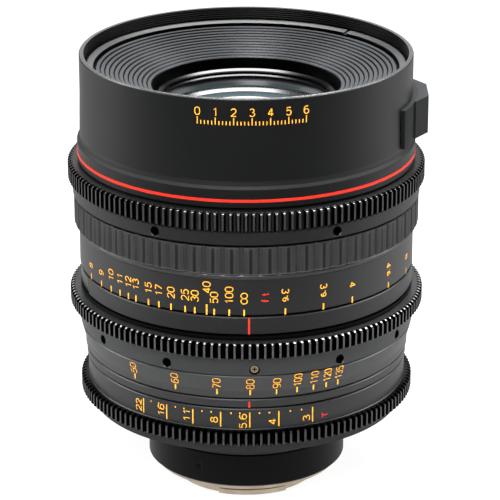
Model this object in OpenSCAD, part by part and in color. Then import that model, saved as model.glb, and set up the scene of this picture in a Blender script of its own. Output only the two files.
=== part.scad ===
// Cinema zoom lens with geared focus, zoom and iris rings.
// The origin is on the optical axis, in the plane of the bayonet flange.
// +Z runs along the axis towards the front glass. -Y faces the operator and carries the index marks.
// Lengths are in millimetres and angles in degrees.

/* [Bayonet mount] */
// Width of the flange plate round the spigot
flange_w = 7.2; // [7:0.1:7.8]
// Thickness of the flange plate
flange_t = 2.6; // [2.2:0.1:3.2]
// Height of the flange's free rim, below the rear barrel
flange_rim_h = 1.6; // [1.4:0.1:1.8]
// Step in from that rim to the flange's upper part, inside the rear barrel
flange_step = 0.4; // [0.3:0.1:0.5]
// Outer radius of the spigot that enters the camera
spigot_r = 25.2; // [24.8:0.1:25.6]
// Wall of the spigot
spigot_wall = 2.6; // [2.4:0.1:2.8]
// How far the spigot reaches below the flange
spigot_h = 5.2; // [4.6:0.1:5.6]
// How far the bayonet lugs stand out of the spigot
lug_rise = 1.8; // [1.4:0.1:2.2]
// Height of the lugs above the spigot's end
lug_up = 0.4; // [0.2:0.1:0.6]
// Thickness of a lug
lug_t = 1.7; // [1.2:0.1:2.2]
// Angle that each lug spans
lug_angle = 52; // [40:1:60]
// Angle of the first lug from the front of the lens
lug_turn = 5; // [0:1:30]
// Number of lugs
lug_count = 3; // [3:1:3]
// Distance from the flange's rim to the circle of mount screws
mount_screw_in = 3; // [2.8:0.1:3.2]
// Radius of a mount screw's head
mount_screw_head_r = 1.5; // [1.2:0.1:1.7]
// Radius of a mount screw's shank
mount_screw_shank_r = 0.8; // [0.6:0.1:1]
// Length of a mount screw under its head
mount_screw_reach = 4.4; // [3.5:0.1:6]
// Number of mount screws
mount_screw_count = 4; // [3:1:6]
// Angle of the first mount screw from the front of the lens
mount_screw_turn = 45; // [40:1:50]
// Wall of the rear light baffle
rear_baffle_wall = 1.6; // [1.2:0.1:2.2]
// Width of the window in the rear light baffle, as a share of the baffle's inner diameter
rear_window_w_share = 0.81; // [0.7:0.01:0.82]
// Height of the window in the rear light baffle, as a share of the same diameter
rear_window_h_share = 0.57; // [0.5:0.01:0.57]

/* [Rear barrel and cover] */
// How far the rear barrel stands out of the flange plate
rear_barrel_out = 2.4; // [2:0.1:3]
// Height of the rear barrel
rear_barrel_h = 11.2; // [10:0.1:12.5]
// Wall of the rear barrel
rear_barrel_wall = 3.9; // [3.6:0.1:4]
// Height of the rear barrel's inner foot, which the mount screws hold
rear_foot_h = 4; // [3.5:0.1:5]
// Bevel on the rear barrel's lower edge
rear_barrel_bevel = 0.6; // [0.3:0.1:1]
// Radius of the rear barrel screws
rear_screw_r = 1.3; // [1:0.1:1.5]
// Length of the rear barrel screws
rear_screw_l = 2.4; // [2:0.1:3]
// Height of the rear barrel screws above the barrel's lower edge
rear_screw_up = 5.6; // [4:0.1:7]
// Angle of the first rear barrel screw from the front
rear_screw_turn = -28; // [-40:1:-20]
// Number of rear barrel screws
rear_screw_count = 3; // [3:1:4]
// How far the rear cover's neck stands out of the rear barrel
neck_out = 1.2; // [1:0.1:2]
// Height of the rear cover
rear_cover_h = 13.1; // [12.6:0.1:14]
// Height of the neck's straight part
neck_h = 3; // [2:0.1:4]
// How far the rear cover's rim stands out of the main housing
rear_cover_out = 2.6; // [2:0.1:3.4]
// Height of the rear cover's rim
rear_rim_h = 3; // [2.6:0.1:3.6]
// Wall of the rear cover's cone
rear_cover_wall = 2.6; // [2.2:0.1:3.2]
// Thickness of the rear cover's deck
rear_deck_t = 3; // [2.6:0.1:3.4]

/* [Iris ring] */
// Wall of the iris ring at its scale
iris_band_wall = 3.75; // [3.4:0.05:4.1]
// Height of the iris ring
iris_ring_h = 12.7; // [12.3:0.1:13.1]
// Height of the iris gear's teeth along the axis
iris_gear_h = 5.2; // [4.6:0.1:5.8]
// How far the iris gear's teeth stand out of the iris scale
iris_tooth_rise = 2.6; // [2.4:0.1:3]
// Module of all three gears: pitch diameter over number of teeth
gear_module = 0.8; // [0.78:0.01:0.82]
// Bevel on the ends of the gear teeth, along the axis
tooth_bevel = 0.7; // [0.4:0.1:1]
// Height of the fixed ring that carries the zoom and iris index
iris_index_h = 2.9; // [2.5:0.1:3.5]
// Wall of that fixed ring
iris_index_wall = 4.2; // [3.8:0.1:4.8]

/* [Zoom ring] */
// Height of the zoom ring with its gear
zoom_ring_h = 21.1; // [20.7:0.1:21.5]
// Height of the zoom gear's teeth along the axis
zoom_gear_h = 5.6; // [5:0.1:6.2]
// How far the zoom gear's teeth stand out of the smooth band under them
zoom_tooth_rise = 3.4; // [3:0.1:3.8]
// How far the smooth band stands out of the zoom scale's upper edge
zoom_band_rise = 0.2; // [0.1:0.1:0.6]
// Height of the smooth band under the zoom gear
zoom_band_h = 6.8; // [6.4:0.1:7.2]
// Wall of the zoom scale ring at its lower edge
zoom_scale_wall = 4.55; // [4.3:0.05:4.9]
// How far the zoom scale widens from its lower to its upper edge
zoom_scale_rise = 1.4; // [1:0.1:1.8]
// Height of the straight foot of the zoom scale ring
zoom_foot_h = 2.6; // [2:0.1:3]
// Radius of the socket screws in the gear rings
set_screw_r = 1.4; // [1:0.1:1.4]
// Length of the socket screws
set_screw_l = 2.2; // [1.8:0.1:2.6]
// How deep those screws sit under the surface
set_screw_sink = 1.1; // [0.8:0.1:1.4]
// Bevel round the mouth of their holes
screw_mouth = 0.4; // [0.2:0.1:0.6]
// Radius of the hexagon socket in those screws, to its corners
socket_r = 0.7; // [0.5:0.1:0.8]
// Depth of that hexagon socket
socket_depth = 1.2; // [0.8:0.1:1.5]
// Radius of the zoom key screw's head
key_screw_head_r = 1.3; // [1.1:0.1:1.5]
// Air round that head in the gear ring
key_screw_air = 0.5; // [0.3:0.1:0.6]
// Thickness of the zoom key screw's head
key_screw_head_t = 1; // [0.8:0.1:1.4]
// Radius of the zoom key screw's shank
key_screw_shank_r = 0.8; // [0.6:0.1:1]
// Angle between the zoom band's socket screws
zoom_screw_turn = 30; // [28:1:32]
// Angle of the zoom key from the front of the lens
zoom_key_turn = 2.8; // [0:0.1:5]

/* [Fixed middle rings] */
// Height of the thin spacer ring above the zoom gear
spacer_h = 1; // [0.8:0.1:1.2]
// Wall of the spacer ring
spacer_wall = 5.9; // [5.5:0.1:6.3]
// Height of the fixed ring with the focus index
index_ring_h = 6.1; // [5.7:0.1:6.5]
// Wall of the fixed ring with the focus index
index_ring_wall = 6; // [5.6:0.1:6.4]
// Depth of the pocket for the plate in that ring
plate_depth = 0.8; // [0.5:0.1:1.2]
// Angle from the front of the lens to the middle of the plate
plate_turn = -90; // [-95:1:-85]
// Half the angle that the plate spans
plate_half_angle = 21.4; // [15:0.1:24]

/* [Focus ring] */
// Height of the focus ring up to its gear ring
focus_ring_h = 24.9; // [24.5:0.1:25.3]
// Wall of the focus ring at its scale
focus_band_wall = 5.95; // [5.6:0.05:6.3]
// Height of the focus scale band
focus_scale_h = 12.4; // [12:0.1:12.8]
// Height of the bead between the scale and the grip
bead_h = 2.2; // [1.8:0.1:2.6]
// How far the bead stands out of the scale band
bead_rise = 0.6; // [0.4:0.1:0.8]
// How deep the rubber grip is let into the focus ring
grip_sink = 0.3; // [0.1:0.1:0.6]
// Height of the rubber grip
grip_h = 9.8; // [9.4:0.1:10]
// Thickness of the rubber grip over its ribs
grip_t = 2; // [1.8:0.1:2.2]
// Number of ribs round the grip
grip_ribs = 60; // [56:1:64]
// Width of the groove between two ribs, at the surface
rib_groove_w = 2.3; // [1.8:0.1:2.8]
// Angle from the front to the middle of the next groove
rib_turn = 4.5; // [0:0.1:6]
// Depth of the groove between two ribs
rib_groove_d = 0.8; // [0.5:0.1:1]
// Bevel on the ends of the ribs
rib_bevel = 0.5; // [0.3:0.1:0.8]
// Height of the gear ring on top of the focus ring
focus_gear_ring_h = 11.6; // [11.2:0.1:12]
// Height of the focus gear's teeth along the axis
focus_gear_h = 7; // [6.4:0.1:7.6]
// How far the focus gear's teeth stand out of the focus scale
focus_tooth_rise = 3.6; // [3.4:0.1:4]
// Number of socket screws in the gear ring's band
focus_screw_count = 6; // [4:1:8]

/* [Front barrel] */
// Wall of the front barrel over the main housing, which sets its clamp-on diameter
front_wall = 5; // [4.6:0.1:5.4]
// How far the barrel widens beside the foot, towards its flare
front_draft = 0.3; // [0.1:0.1:0.5]
// Height of the front barrel
front_barrel_h = 36.7; // [36:0.1:37.5]
// How far the collar at the barrel's foot stands out of the barrel
collar_rise = 1.2; // [0.8:0.1:1.6]
// Height of the collar
collar_h = 6.4; // [6:0.1:6.8]
// Height of the flare between the collar and the barrel
flare_h = 2.7; // [2:0.1:3.4]
// Width of the red ring along the axis
red_ring_h = 1; // [0.8:0.1:1.4]
// Height of the red ring above the collar's foot
red_ring_up = 2.1; // [1.8:0.1:2.4]
// Depth of the groove that holds the red ring
red_ring_t = 1; // [0.8:0.1:1.2]
// How far the red ring stands out of the collar
red_ring_rise = 0.15; // [0.1:0.01:0.2]
// Wall of the barrel at the front filter thread
filter_wall = 1.54; // [1.4:0.01:1.8]
// Depth of the front filter thread
filter_depth = 4.3; // [4:0.1:4.6]
// Step from the filter thread in to the ring that clamps the front baffle
ledge_step = 1.06; // [0.9:0.01:1.2]
// Width of that ledge ring
ledge_ring_w = 2.2; // [2:0.1:2.4]
// Thickness of the ledge ring
ledge_ring_t = 1.7; // [1.5:0.1:1.9]
// How far the ledge ring's face falls towards the middle
ledge_fall = 0.6; // [0.4:0.1:0.8]
// Width of the notch in the ledge ring
ledge_notch_w = 1.2; // [0.9:0.1:1.5]
// Angle of the notch from the front of the lens
ledge_notch_turn = 138; // [132:1:144]
// Width of the groove between the ledge ring and the ribbed baffle
baffle_groove_w = 1; // [0.8:0.1:1.2]
// How far the ribbed baffle reaches in over the front element
baffle_lip = 0.8; // [0.4:0.1:1.2]
// How far the ribbed baffle falls from its edge to its opening
baffle_fall = 6.3; // [5.8:0.1:6.8]
// Number of steps on the ribbed baffle
baffle_steps = 12; // [9:1:14]
// Rise of each step against the baffle's slope
baffle_step_rise = 0.35; // [0.25:0.01:0.45]
// Wall of the ribbed baffle
baffle_wall = 1.8; // [1.5:0.1:2.1]
// Depth of the baffle's inner wall below its opening
baffle_skirt = 3.2; // [2.8:0.1:3.6]

/* [Support foot] */
// Angle from the front of the lens to the middle of the foot
foot_turn = 90; // [85:1:95]
// Thickness of the curved pad under the foot
pad_t = 1.5; // [1.2:0.1:1.8]
// Half the angle that the pad spans
pad_half_angle = 24.7; // [23:0.1:26]
// Height of the pad along the axis
pad_h = 13.6; // [13.2:0.1:14]
// Height of the block along the axis
foot_h = 13.2; // [12.6:0.1:13.2]
// Thickness of the block over the pad's middle
foot_block_t = 3.6; // [3.4:0.1:4.4]
// Width of the block's outer face
foot_face_w = 13.3; // [12.6:0.1:14]
// Width of the block where it meets the pad
foot_base_w = 27.4; // [26:0.1:28]
// Wall radius of the threaded hole in the block
foot_hole_r = 2.6; // [2.4:0.1:2.8]
// Depth of the threaded hole in the block
foot_hole_depth = 4; // [3.6:0.1:4.4]
// Radius of the foot screws' heads
foot_screw_head_r = 1.3; // [1.1:0.1:1.4]
// Radius of the foot screws' shanks
foot_screw_shank_r = 0.8; // [0.6:0.1:0.9]
// Length of the foot screws
foot_screw_l = 4.6; // [4.2:0.1:5]
// Distance from the block's middle to each foot screw, along the axis
foot_screw_off = 4.7; // [4.5:0.1:4.9]

/* [Guide tube and cams] */
// Inner radius of the fixed guide tube
guide_bore_r = 42; // [41.8:0.1:42.2]
// Wall of the guide tube
guide_wall = 2; // [1.8:0.1:2.2]
// Wall of the cam tubes
cam_wall = 2.4; // [2:0.1:2.6]
// Air between the cam tubes and the main housing
cam_air = 3.55; // [3.3:0.05:3.8]
// Wall of the main housing
housing_wall = 2; // [1.8:0.1:2.2]
// Height of the iris unit under the housing's shelf
iris_bay_h = 9.8; // [9.6:0.1:10.2]
// Thickness of the housing's inner shelf and of the barrel's inner flange
shelf_t = 2; // [1.8:0.1:2.2]
// Width of the housing's shelf
shelf_w = 4; // [3.6:0.1:4.2]
// Thickness of the guide tube's foot
guide_foot_t = 2.5; // [2.2:0.1:2.8]
// How far the housing reaches into the front barrel
housing_reach = 4.3; // [4:0.1:4.6]
// Radius of the cam followers
follower_r = 1.6; // [1.4:0.1:1.8]
// Tangential width of the zoom, focus and iris keys
key_w = 4.6; // [4:0.1:5]
// Height of the zoom and focus keys along the axis
key_h = 4; // [3.6:0.1:4.4]
// Travel of the focus group for each radian of the focus ring
focus_lead = 2.6; // [2.4:0.1:2.8]
// Travel of the variator for each radian of the zoom ring
variator_lead = 16; // [14:0.5:16.5]
// Travel of the compensator for each radian of the zoom ring, against the variator
compensator_lead = 4; // [3.5:0.5:4.5]
// Angle of the focus ring from infinity to its nearest mark
focus_throw = 176; // [170:1:178]
// Angle of the zoom ring from rest to its widest mark
zoom_to_wide = 42.7; // [40:0.1:43]
// Angle of the zoom ring from rest to its longest mark
zoom_to_long = 31.9; // [30:0.1:33]
// Angle of the iris ring from rest to its smallest stop
iris_to_small = 39.8; // [38:0.1:40]
// Angle of the iris ring from rest to its widest stop
iris_to_open = 22.6; // [21:0.1:23]

/* [Iris] */
// Number of iris blades
blade_count = 9; // [9:1:9]
// Distance from the shelf's edge in to the circle of blade pivots
pivot_in = 6; // [5.8:0.1:6.2]
// Radius of a blade's pivot pin
pivot_r = 0.7; // [0.6:0.05:0.8]
// Distance from a blade's pivot to its drive pin
blade_arm = 8.3; // [8:0.1:8.6]
// Radius of a blade's drive pin
drive_pin_r = 0.6; // [0.5:0.05:0.65]
// Thickness of a blade
blade_t = 0.3; // [0.2:0.05:0.35]
// Distance between one blade's level and the next
blade_pitch = 0.5; // [0.45:0.01:0.52]
// Radius of the blades' inner edge when the iris is open
blade_bore_r = 19.6; // [19.2:0.1:20]
// Distance from the circle of pivots in to the blades' outer edge when the iris is open
blade_rim_in = 3.6; // [3.4:0.1:3.8]
// Angle that a blade spans
blade_span = 112; // [105:1:118]
// Angle that a blade reaches back past its pivot
blade_back = 3; // [0:1:5]
// Turn of a blade for each degree of the iris ring
blade_ratio = 0.39; // [0.38:0.005:0.395]
// Air between the blades' inner edge and the opening in the iris case
iris_open_air = 0.8; // [0.5:0.1:1.4]
// Thickness of the iris case's floor, of its cover and of the drive ring
iris_plate_t = 1.3; // [1.1:0.1:1.4]

/* [Glass groups] */
// Radius of the front element
front_glass_r = 33; // [32.8:0.1:33.3]
// Front radius of curvature of the front element
front_glass_curve = 110; // [100:1:130]
// Edge thickness of the front element
front_glass_edge = 4.4; // [4:0.1:4.6]
// Edge thickness of the second element
second_glass_edge = 3.5; // [3.2:0.1:3.8]
// Air space between the first two elements
front_air = 0.5; // [0.4:0.1:0.7]
// Wall of the cell that holds the front elements
front_cell_wall = 3; // [2.6:0.1:3.4]
// Thickness of the front cell's foot
front_cell_foot_t = 3; // [2.6:0.1:3.4]
// Height of the ring that holds the front element in its cell
retainer_h = 2; // [1.7:0.1:2.3]
// Wall of that ring
retainer_wall = 1.8; // [1.5:0.1:2]
// Least air between two moving cells
group_gap = 1.5; // [1.2:0.1:2]
// Length of the focus cell
focus_cell_l = 12; // [11:0.1:12.5]
// Length of the variator cell
variator_cell_l = 12; // [11:0.1:12.5]
// Length of the compensator cell
compensator_cell_l = 6; // [5.5:0.1:6.4]
// Wall of the moving cells
cell_wall = 5; // [4.6:0.1:5.4]
// Radius of curvature of the focus element's front face
focus_curve = 250; // [230:5:300]
// Edge thickness of the focus element
focus_glass_edge = 3.5; // [3:0.1:4]
// Radius of curvature of the variator's faces
variator_curve = 400; // [360:10:450]
// Edge thickness of the variator's front element
variator_front_edge = 4.6; // [4.4:0.1:4.8]
// Edge thickness of the variator's rear element
variator_rear_edge = 3; // [2.6:0.1:3.3]
// Radius of curvature of the compensator's faces
compensator_curve = 600; // [560:10:700]
// Edge thickness of the compensator's element
compensator_glass_edge = 2; // [1.7:0.1:2.2]
// Curvature radius of the relay elements' front faces, as a share of their own radius
relay_curve_share = 3.2; // [3:0.1:4]
// Curvature radius of the relay elements' rear faces, as a share of their own radius
relay_rear_share = 6.5; // [6:0.5:9]
// Edge thickness of the relay elements
relay_glass_edge = 4; // [3.6:0.1:4.3]
// Air between the rear cell's tube and the rear barrel
rear_cell_air = 3.5; // [3.3:0.1:3.8]
// Wall of the rear cell
rear_cell_wall = 3.2; // [2.8:0.1:3.6]
// Length of the rear cell
rear_cell_l = 20; // [19:0.1:20.4]

/* [Clearances] */
// Radial clearance of a running or sliding fit
fit_gap = 0.05; // [0.03:0.01:0.07]
// Clearance of a seat between two fixed pieces
seat_gap = 0.02; // [0.01:0.01:0.04]
// Open seam between a turning ring and its neighbour
ring_gap = 0.7; // [0.5:0.1:0.9]
// Closed seam between two pieces that turn together or not at all
seam_gap = 0.3; // [0.2:0.05:0.4]
// Play past each end of a moving key or follower
end_play = 0.3; // [0.2:0.05:0.4]

/* [Hidden] */
$fn = 96;

// Overrun of every cut past the surface that it cuts
over = 1;
pressure_angle = 20;
// Steps of a lens face from its middle to its rim, of a helical slot in degrees, and of a curved slot
lens_steps = 16;
helix_step = 8;
curve_steps = 16;
// Share of a cell's wall that a follower's blind hole goes into
follower_seat_share = 0.6;
// Where the flare bends: outwards and upwards, as shares of its width and height
flare_out_share = 0.75;
flare_up_share = 0.35;
// Crest and foot of each baffle step, as shares of the step's width
step_crest_share = 0.72;
step_foot_share = 0.86;
// Slope of the gear teeth's ends: width over height of the bevel, and height over width of the run-out
bevel_share = 1.6;
run_out_share = 0.7;
// Length and width of a cross slot's arm in a screw head, as shares of the head's radius
slot_arm_share = 1.2;
slot_width_share = 0.3;
// Radius of a blade's ear round its drive pin, as a share of the pin's radius
pin_ear_share = 1.6;
// Width of the front glass's seat, as a share of its retaining ring's wall
seat_share = 1.2;
// Thickness of the rear cell's foot, as a share of its wall
cell_foot_share = 0.8;
// Tooth addendum and dedendum in modules
addendum = 1;
dedendum = 1.25;

// Heights of the outer stack, from the flange plane up
z_barrel0 = flange_t;
z_barrel1 = z_barrel0 + rear_barrel_h;
z_cover0 = z_barrel1 + seam_gap;
z_cover1 = z_cover0 + rear_cover_h;
z_iris0 = z_cover1 + ring_gap;
z_iris1 = z_iris0 + iris_ring_h;
z_iris_index0 = z_iris1 + ring_gap;
z_iris_index1 = z_iris_index0 + iris_index_h;
z_zoom0 = z_iris_index1 + ring_gap;
z_zoom1 = z_zoom0 + zoom_ring_h;
z_spacer0 = z_zoom1 + ring_gap;
z_spacer1 = z_spacer0 + spacer_h;
z_index0 = z_spacer1 + ring_gap;
z_index1 = z_index0 + index_ring_h;
z_focus0 = z_index1 + ring_gap;
z_focus1 = z_focus0 + focus_ring_h;
z_gear0 = z_focus1 + seam_gap;
z_gear1 = z_gear0 + focus_gear_ring_h;
z_front0 = z_gear1 + ring_gap;
z_front1 = z_front0 + front_barrel_h;

// Radii, from the guide tube outwards
guide_r = guide_bore_r + guide_wall;
cam_bore_r = guide_r + fit_gap;
cam_r = cam_bore_r + cam_wall;
cell_r = guide_bore_r - fit_gap;
housing_bore_r = cam_r + cam_air;
housing_r = housing_bore_r + housing_wall;
ring_bore_r = housing_r + fit_gap;
iris_band_r = ring_bore_r + iris_band_wall;
iris_index_r = housing_r + iris_index_wall;
zoom_scale_low_r = ring_bore_r + zoom_scale_wall;
zoom_scale_top_r = zoom_scale_low_r + zoom_scale_rise;
zoom_band_r = zoom_scale_top_r + zoom_band_rise;
spacer_r = housing_r + spacer_wall;
index_ring_r = housing_r + index_ring_wall;
focus_band_r = ring_bore_r + focus_band_wall;
grip_bore_r = focus_band_r - grip_sink;
grip_r = grip_bore_r + grip_t;
// The front barrel: its clamp-on front, its foot beside the flare, its collar, and its inside
front_r = housing_r + front_wall;
front_low_r = front_r + front_draft;
collar_r = front_r + collar_rise;
filter_r = front_r - filter_wall;
ledge_ring_r = filter_r - ledge_step;
ledge_bore_r = ledge_ring_r - ledge_ring_w;
baffle_edge_r = ledge_bore_r - baffle_groove_w;
baffle_bore_r = front_glass_r - baffle_lip;
foot_out = front_r + pad_t + foot_block_t;
// The mount and the rear barrel, from the spigot outwards
spigot_bore_r = spigot_r - spigot_wall;
lug_r = spigot_r + lug_rise;
flange_r = spigot_r + flange_w;
mount_screw_circle_r = flange_r - mount_screw_in;
rear_barrel_r = flange_r + rear_barrel_out;
rear_barrel_bore_r = rear_barrel_r - rear_barrel_wall;
rear_cell_r = rear_barrel_bore_r - rear_cell_air;
rear_deck_bore_r = rear_cell_r + ring_gap;
neck_r = rear_barrel_r + neck_out;
rear_cover_r = housing_r + rear_cover_out;
// The iris, from the housing's shelf inwards
shelf_bore_r = housing_bore_r - shelf_w;
pivot_circle_r = shelf_bore_r - pivot_in;
blade_rim_r = pivot_circle_r - blade_rim_in;
iris_open_r = blade_bore_r + iris_open_air;

// Gears
focus_teeth = teeth_on(focus_band_r + focus_tooth_rise);
zoom_teeth = teeth_on(zoom_band_r + zoom_tooth_rise);
iris_teeth = teeth_on(iris_band_r + iris_tooth_rise);
focus_tip_r = tip_radius(focus_teeth);
zoom_tip_r = tip_radius(zoom_teeth);
iris_tip_r = tip_radius(iris_teeth);
// Band that the focus gear's teeth run out on, just above the tooth roots
focus_gear_band_r = root_radius(focus_teeth) + gear_module / 4;
z_focus_teeth0 = z_gear1 - focus_gear_h;
z_zoom_teeth0 = z_zoom1 - zoom_gear_h;
z_iris_teeth1 = z_iris0 + iris_gear_h;
z_zoom_band0 = z_zoom_teeth0 - zoom_band_h;
// Bore of the zoom gear ring, over the sleeve of the zoom scale ring
zoom_gear_bore_r = zoom_scale_low_r - seam_gap;

// Heights of the inner tubes
z_housing1 = z_front0 + housing_reach;
z_shelf0 = z_cover1 + iris_bay_h;
z_shelf1 = z_shelf0 + shelf_t;
z_guide_foot1 = z_shelf1 + guide_foot_t;
z_guide1 = z_housing1 + shelf_t;
// Keys
z_zoom_key = z_zoom_band0 + zoom_band_h / 3;
z_focus_key = z_focus0 + focus_ring_h * 2 / 3;
focus_key_turn = 180;
iris_key_turn = 180;
// Groups at rest: the zoom at its middle mark and the focus at infinity
z_focus_group = z_focus_key + key_h / 2 + focus_cell_l / 2;
z_focus_cam0 = z_focus_key - key_h;
z_focus_cam1 = z_housing1 - end_play;
z_zoom_cam0 = z_guide_foot1 + end_play;
z_zoom_cam1 = z_focus_cam0 - end_play;
to_wide = zoom_to_wide * PI / 180;
to_long = zoom_to_long * PI / 180;
to_near = focus_throw * PI / 180;
variator_up = variator_lead * to_wide;
variator_down = variator_lead * to_long;
compensator_up = compensator_lead * to_long;
compensator_down = compensator_lead * to_wide;
focus_up = focus_lead * to_near;
z_compensator = z_zoom_key - key_h / 2 - compensator_up - follower_r - 2 * end_play;
z_variator = z_compensator + compensator_up + compensator_cell_l / 2
  + group_gap + variator_cell_l / 2 + variator_down;
cell_bore_r = cell_r - cell_wall;
z_focus_follower = z_focus_group - focus_cell_l / 2 + follower_r * 3;
follower_count = 3;
focus_follower_count = 2;
variator_follower_turn = 30;
compensator_follower_turn = 90;
focus_follower_turn = 90;

// Iris stack, from the case's floor up
z_case1 = z_shelf0 - fit_gap;
z_blade0 = z_cover1 + iris_plate_t + blade_pitch - blade_t;
z_blades1 = z_blade0 + blade_count * blade_pitch;
z_drive0 = z_blades1 + blade_t / 2;
z_drive1 = z_drive0 + iris_plate_t;
z_iris_cover0 = z_drive1 + blade_t;
z_iris_cover1 = z_iris_cover0 + iris_plate_t;
case_r = housing_bore_r - fit_gap;
case_bore_r = shelf_bore_r;
drive_ring_r = case_bore_r - end_play;
drive_ring_bore_r = blade_rim_r + key_w / 6;
key_socket_r = ring_bore_r + key_w / 3;
// Turn of a blade from its open place to its place at rest
blade_rest_turn = iris_to_open * blade_ratio;
blade_full_turn = (iris_to_open + iris_to_small) * blade_ratio;

// Front barrel's inside, from the rim down
z_filter0 = z_front1 - filter_depth;
z_ledge0 = z_filter0 - ledge_ring_t;
baffle_rim_r = (ledge_ring_r + ledge_bore_r) / 2 + ledge_fall / 2;
z_baffle_rim1 = z_ledge0 - ledge_fall;
z_baffle_rim0 = z_baffle_rim1 - baffle_wall;
z_baffle_edge = z_ledge0 + ledge_fall / 3;
z_baffle_bore = z_baffle_edge - baffle_fall;
z_baffle0 = z_baffle_bore - baffle_skirt;
barrel_bore_r = baffle_rim_r - ledge_ring_t;
z_cell0 = z_guide1 + seam_gap;
z_cell1 = z_baffle0 - seam_gap;
front_cell_bore_r = front_glass_r + seat_gap;
front_cell_r = front_cell_bore_r + front_cell_wall;
z_retainer1 = z_cell1 - seat_gap;
z_retainer0 = z_retainer1 - retainer_h;
retainer_bore_r = front_glass_r - retainer_wall;
z_front_glass1 = z_retainer0 - seat_gap
  + sag(front_glass_curve, retainer_bore_r) - sag(front_glass_curve, front_glass_r);
z_front_glass0 = z_front_glass1 - front_glass_edge;
z_second_glass1 = z_front_glass0 - front_air;
z_second_glass0 = z_second_glass1 - second_glass_edge;
front_seat_w = seat_share * retainer_wall;
z_foot = z_front0 + collar_h + flare_h + pad_h / 2;
foot_screw_deep = foot_screw_l - (foot_out - front_r) + foot_screw_head_r;
// Radius at which the zoom key screw's head sits
key_head_r0 = zoom_band_r - key_screw_head_t - seam_gap - end_play;

// Number of teeth that brings a gear's tips to this radius, and a gear's tip and root
function teeth_on(r) = round(2 * r / gear_module) - 2 * addendum;
function tip_radius(teeth) = gear_module * (teeth / 2 + addendum);
function root_radius(teeth) = gear_module * (teeth / 2 - dedendum);

// Height of a sphere's cap of this radius over a chord of half width half
function sag(curve, half) = curve - sqrt(curve * curve - half * half);

// Places its children at an angle from the front of the lens, with local +X pointing outwards
module at(turn) {
  rotate([0, 0, turn - 90]) children();
}

// Places its children at an angle and a height, with local +Z pointing outwards
module radial(turn, z) {
  at(turn) translate([0, 0, z]) rotate([0, 90, 0]) children();
}

// A plain ring round the axis
module ring(outer, inner, z0, z1) {
  translate([0, 0, z0]) difference() {
    cylinder(r = outer, h = z1 - z0);
    translate([0, 0, -over]) cylinder(r = inner, h = z1 - z0 + 2 * over);
  }
}

// The space between gear teeth, for all teeth of one gear
module tooth_gaps(teeth, z0, z1) {
  tip_r = tip_radius(teeth);
  root_r = root_radius(teeth);
  tip_tooth = gear_module * (PI / 2 - 2 * addendum * tan(pressure_angle));
  root_tooth = gear_module * (PI / 2 + 2 * dedendum * tan(pressure_angle));
  tip_gap = 2 * PI * tip_r / teeth - tip_tooth;
  root_gap = 2 * PI * root_r / teeth - root_tooth;
  out_gap = tip_gap + 2 * over * tan(pressure_angle);
  for (i = [0:teeth - 1]) {
    rotate([0, 0, (i + 0.5) * 360 / teeth])
      translate([0, 0, z0])
      linear_extrude(z1 - z0)
      polygon([
        [root_r, -root_gap / 2],
        [tip_r + over, -out_gap / 2],
        [tip_r + over, out_gap / 2],
        [root_r, root_gap / 2]
      ]);
  }
}

// A slot round a tube, from one angle to the other, measured from the front
module arc_slot(turn0, turn1, r0, r1, z0, z1) {
  rotate([0, 0, turn0 - 90])
    rotate_extrude(angle = turn1 - turn0)
    translate([r0, z0])
    square([r1 - r0, z1 - z0]);
}

// A helical slot through a tube: its middle climbs by lead for each radian
module helix_slot(turn0, turn1, r0, r1, z0, lead, half) {
  steps = ceil(abs(turn1 - turn0) / helix_step);
  points = [
    for (i = [0:steps])
      let (
        t = turn0 + (turn1 - turn0) * i / steps,
        z = z0 + lead * t * PI / 180,
        a = -t
      )
      for (c = [[r0, -half], [r1, -half], [r1, half], [r0, half]])
        [c[0] * cos(a), c[0] * sin(a), z + c[1]]
  ];
  sides = [
    for (i = [0:steps - 1])
      for (c = [0:3])
        let (d = (c + 1) % 4)
        for (f = [
          [4 * i + c, 4 * i + 4 + c, 4 * i + 4 + d],
          [4 * i + c, 4 * i + 4 + d, 4 * i + d]
        ])
          f
  ];
  last = 4 * steps;
  polyhedron(points, concat(
    sides,
    [[0, 1, 2], [0, 2, 3]],
    [[last + 2, last + 1, last], [last + 3, last + 2, last]]
  ));
}

// Height of a lens face over its rim at radius x: positive where it bulges out, negative where it is hollow
function bulge(curve, x, r) = sign(curve) * (sag(abs(curve), r) - sag(abs(curve), x));

// A lens element whose rim reaches from z0 to z1: a positive curve bulges out and a negative one is hollow
module element(r, z0, z1, front_curve, rear_curve) {
  radii = [for (i = [0:lens_steps]) r * i / lens_steps];
  rotate_extrude() polygon(concat(
    [for (i = [lens_steps:-1:0]) [radii[i], z1 + bulge(front_curve, radii[i], r)]],
    [for (x = radii) [x, z0 - bulge(rear_curve, x, r)]]
  ));
}

// A moving cell: a tube with a seat ledge in its middle and blind holes for its followers
module moving_cell(z0, l, turn, count, z_follower) {
  ledge = cell_wall / 3;
  difference() {
    union() {
      ring(cell_r, cell_bore_r, z0, z0 + l);
      ring(cell_bore_r + over, cell_bore_r - ledge, z0 + l / 2 - ledge / 2, z0 + l / 2 + ledge / 2);
    }
    for (i = [0:count - 1])
      radial(turn + i * 360 / count, z_follower)
        translate([0, 0, cell_r - cell_wall * follower_seat_share])
        cylinder(r = follower_r + seat_gap, h = cell_wall);
  }
}

// Followers that stand out of a moving cell through the guide and cam tubes
module followers(turn, count, z_follower) {
  foot = cell_r - cell_wall * follower_seat_share + seat_gap;
  for (i = [0:count - 1])
    radial(turn + i * 360 / count, z_follower)
      translate([0, 0, foot])
      cylinder(r = follower_r, h = cam_r - seam_gap - foot);
}

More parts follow.
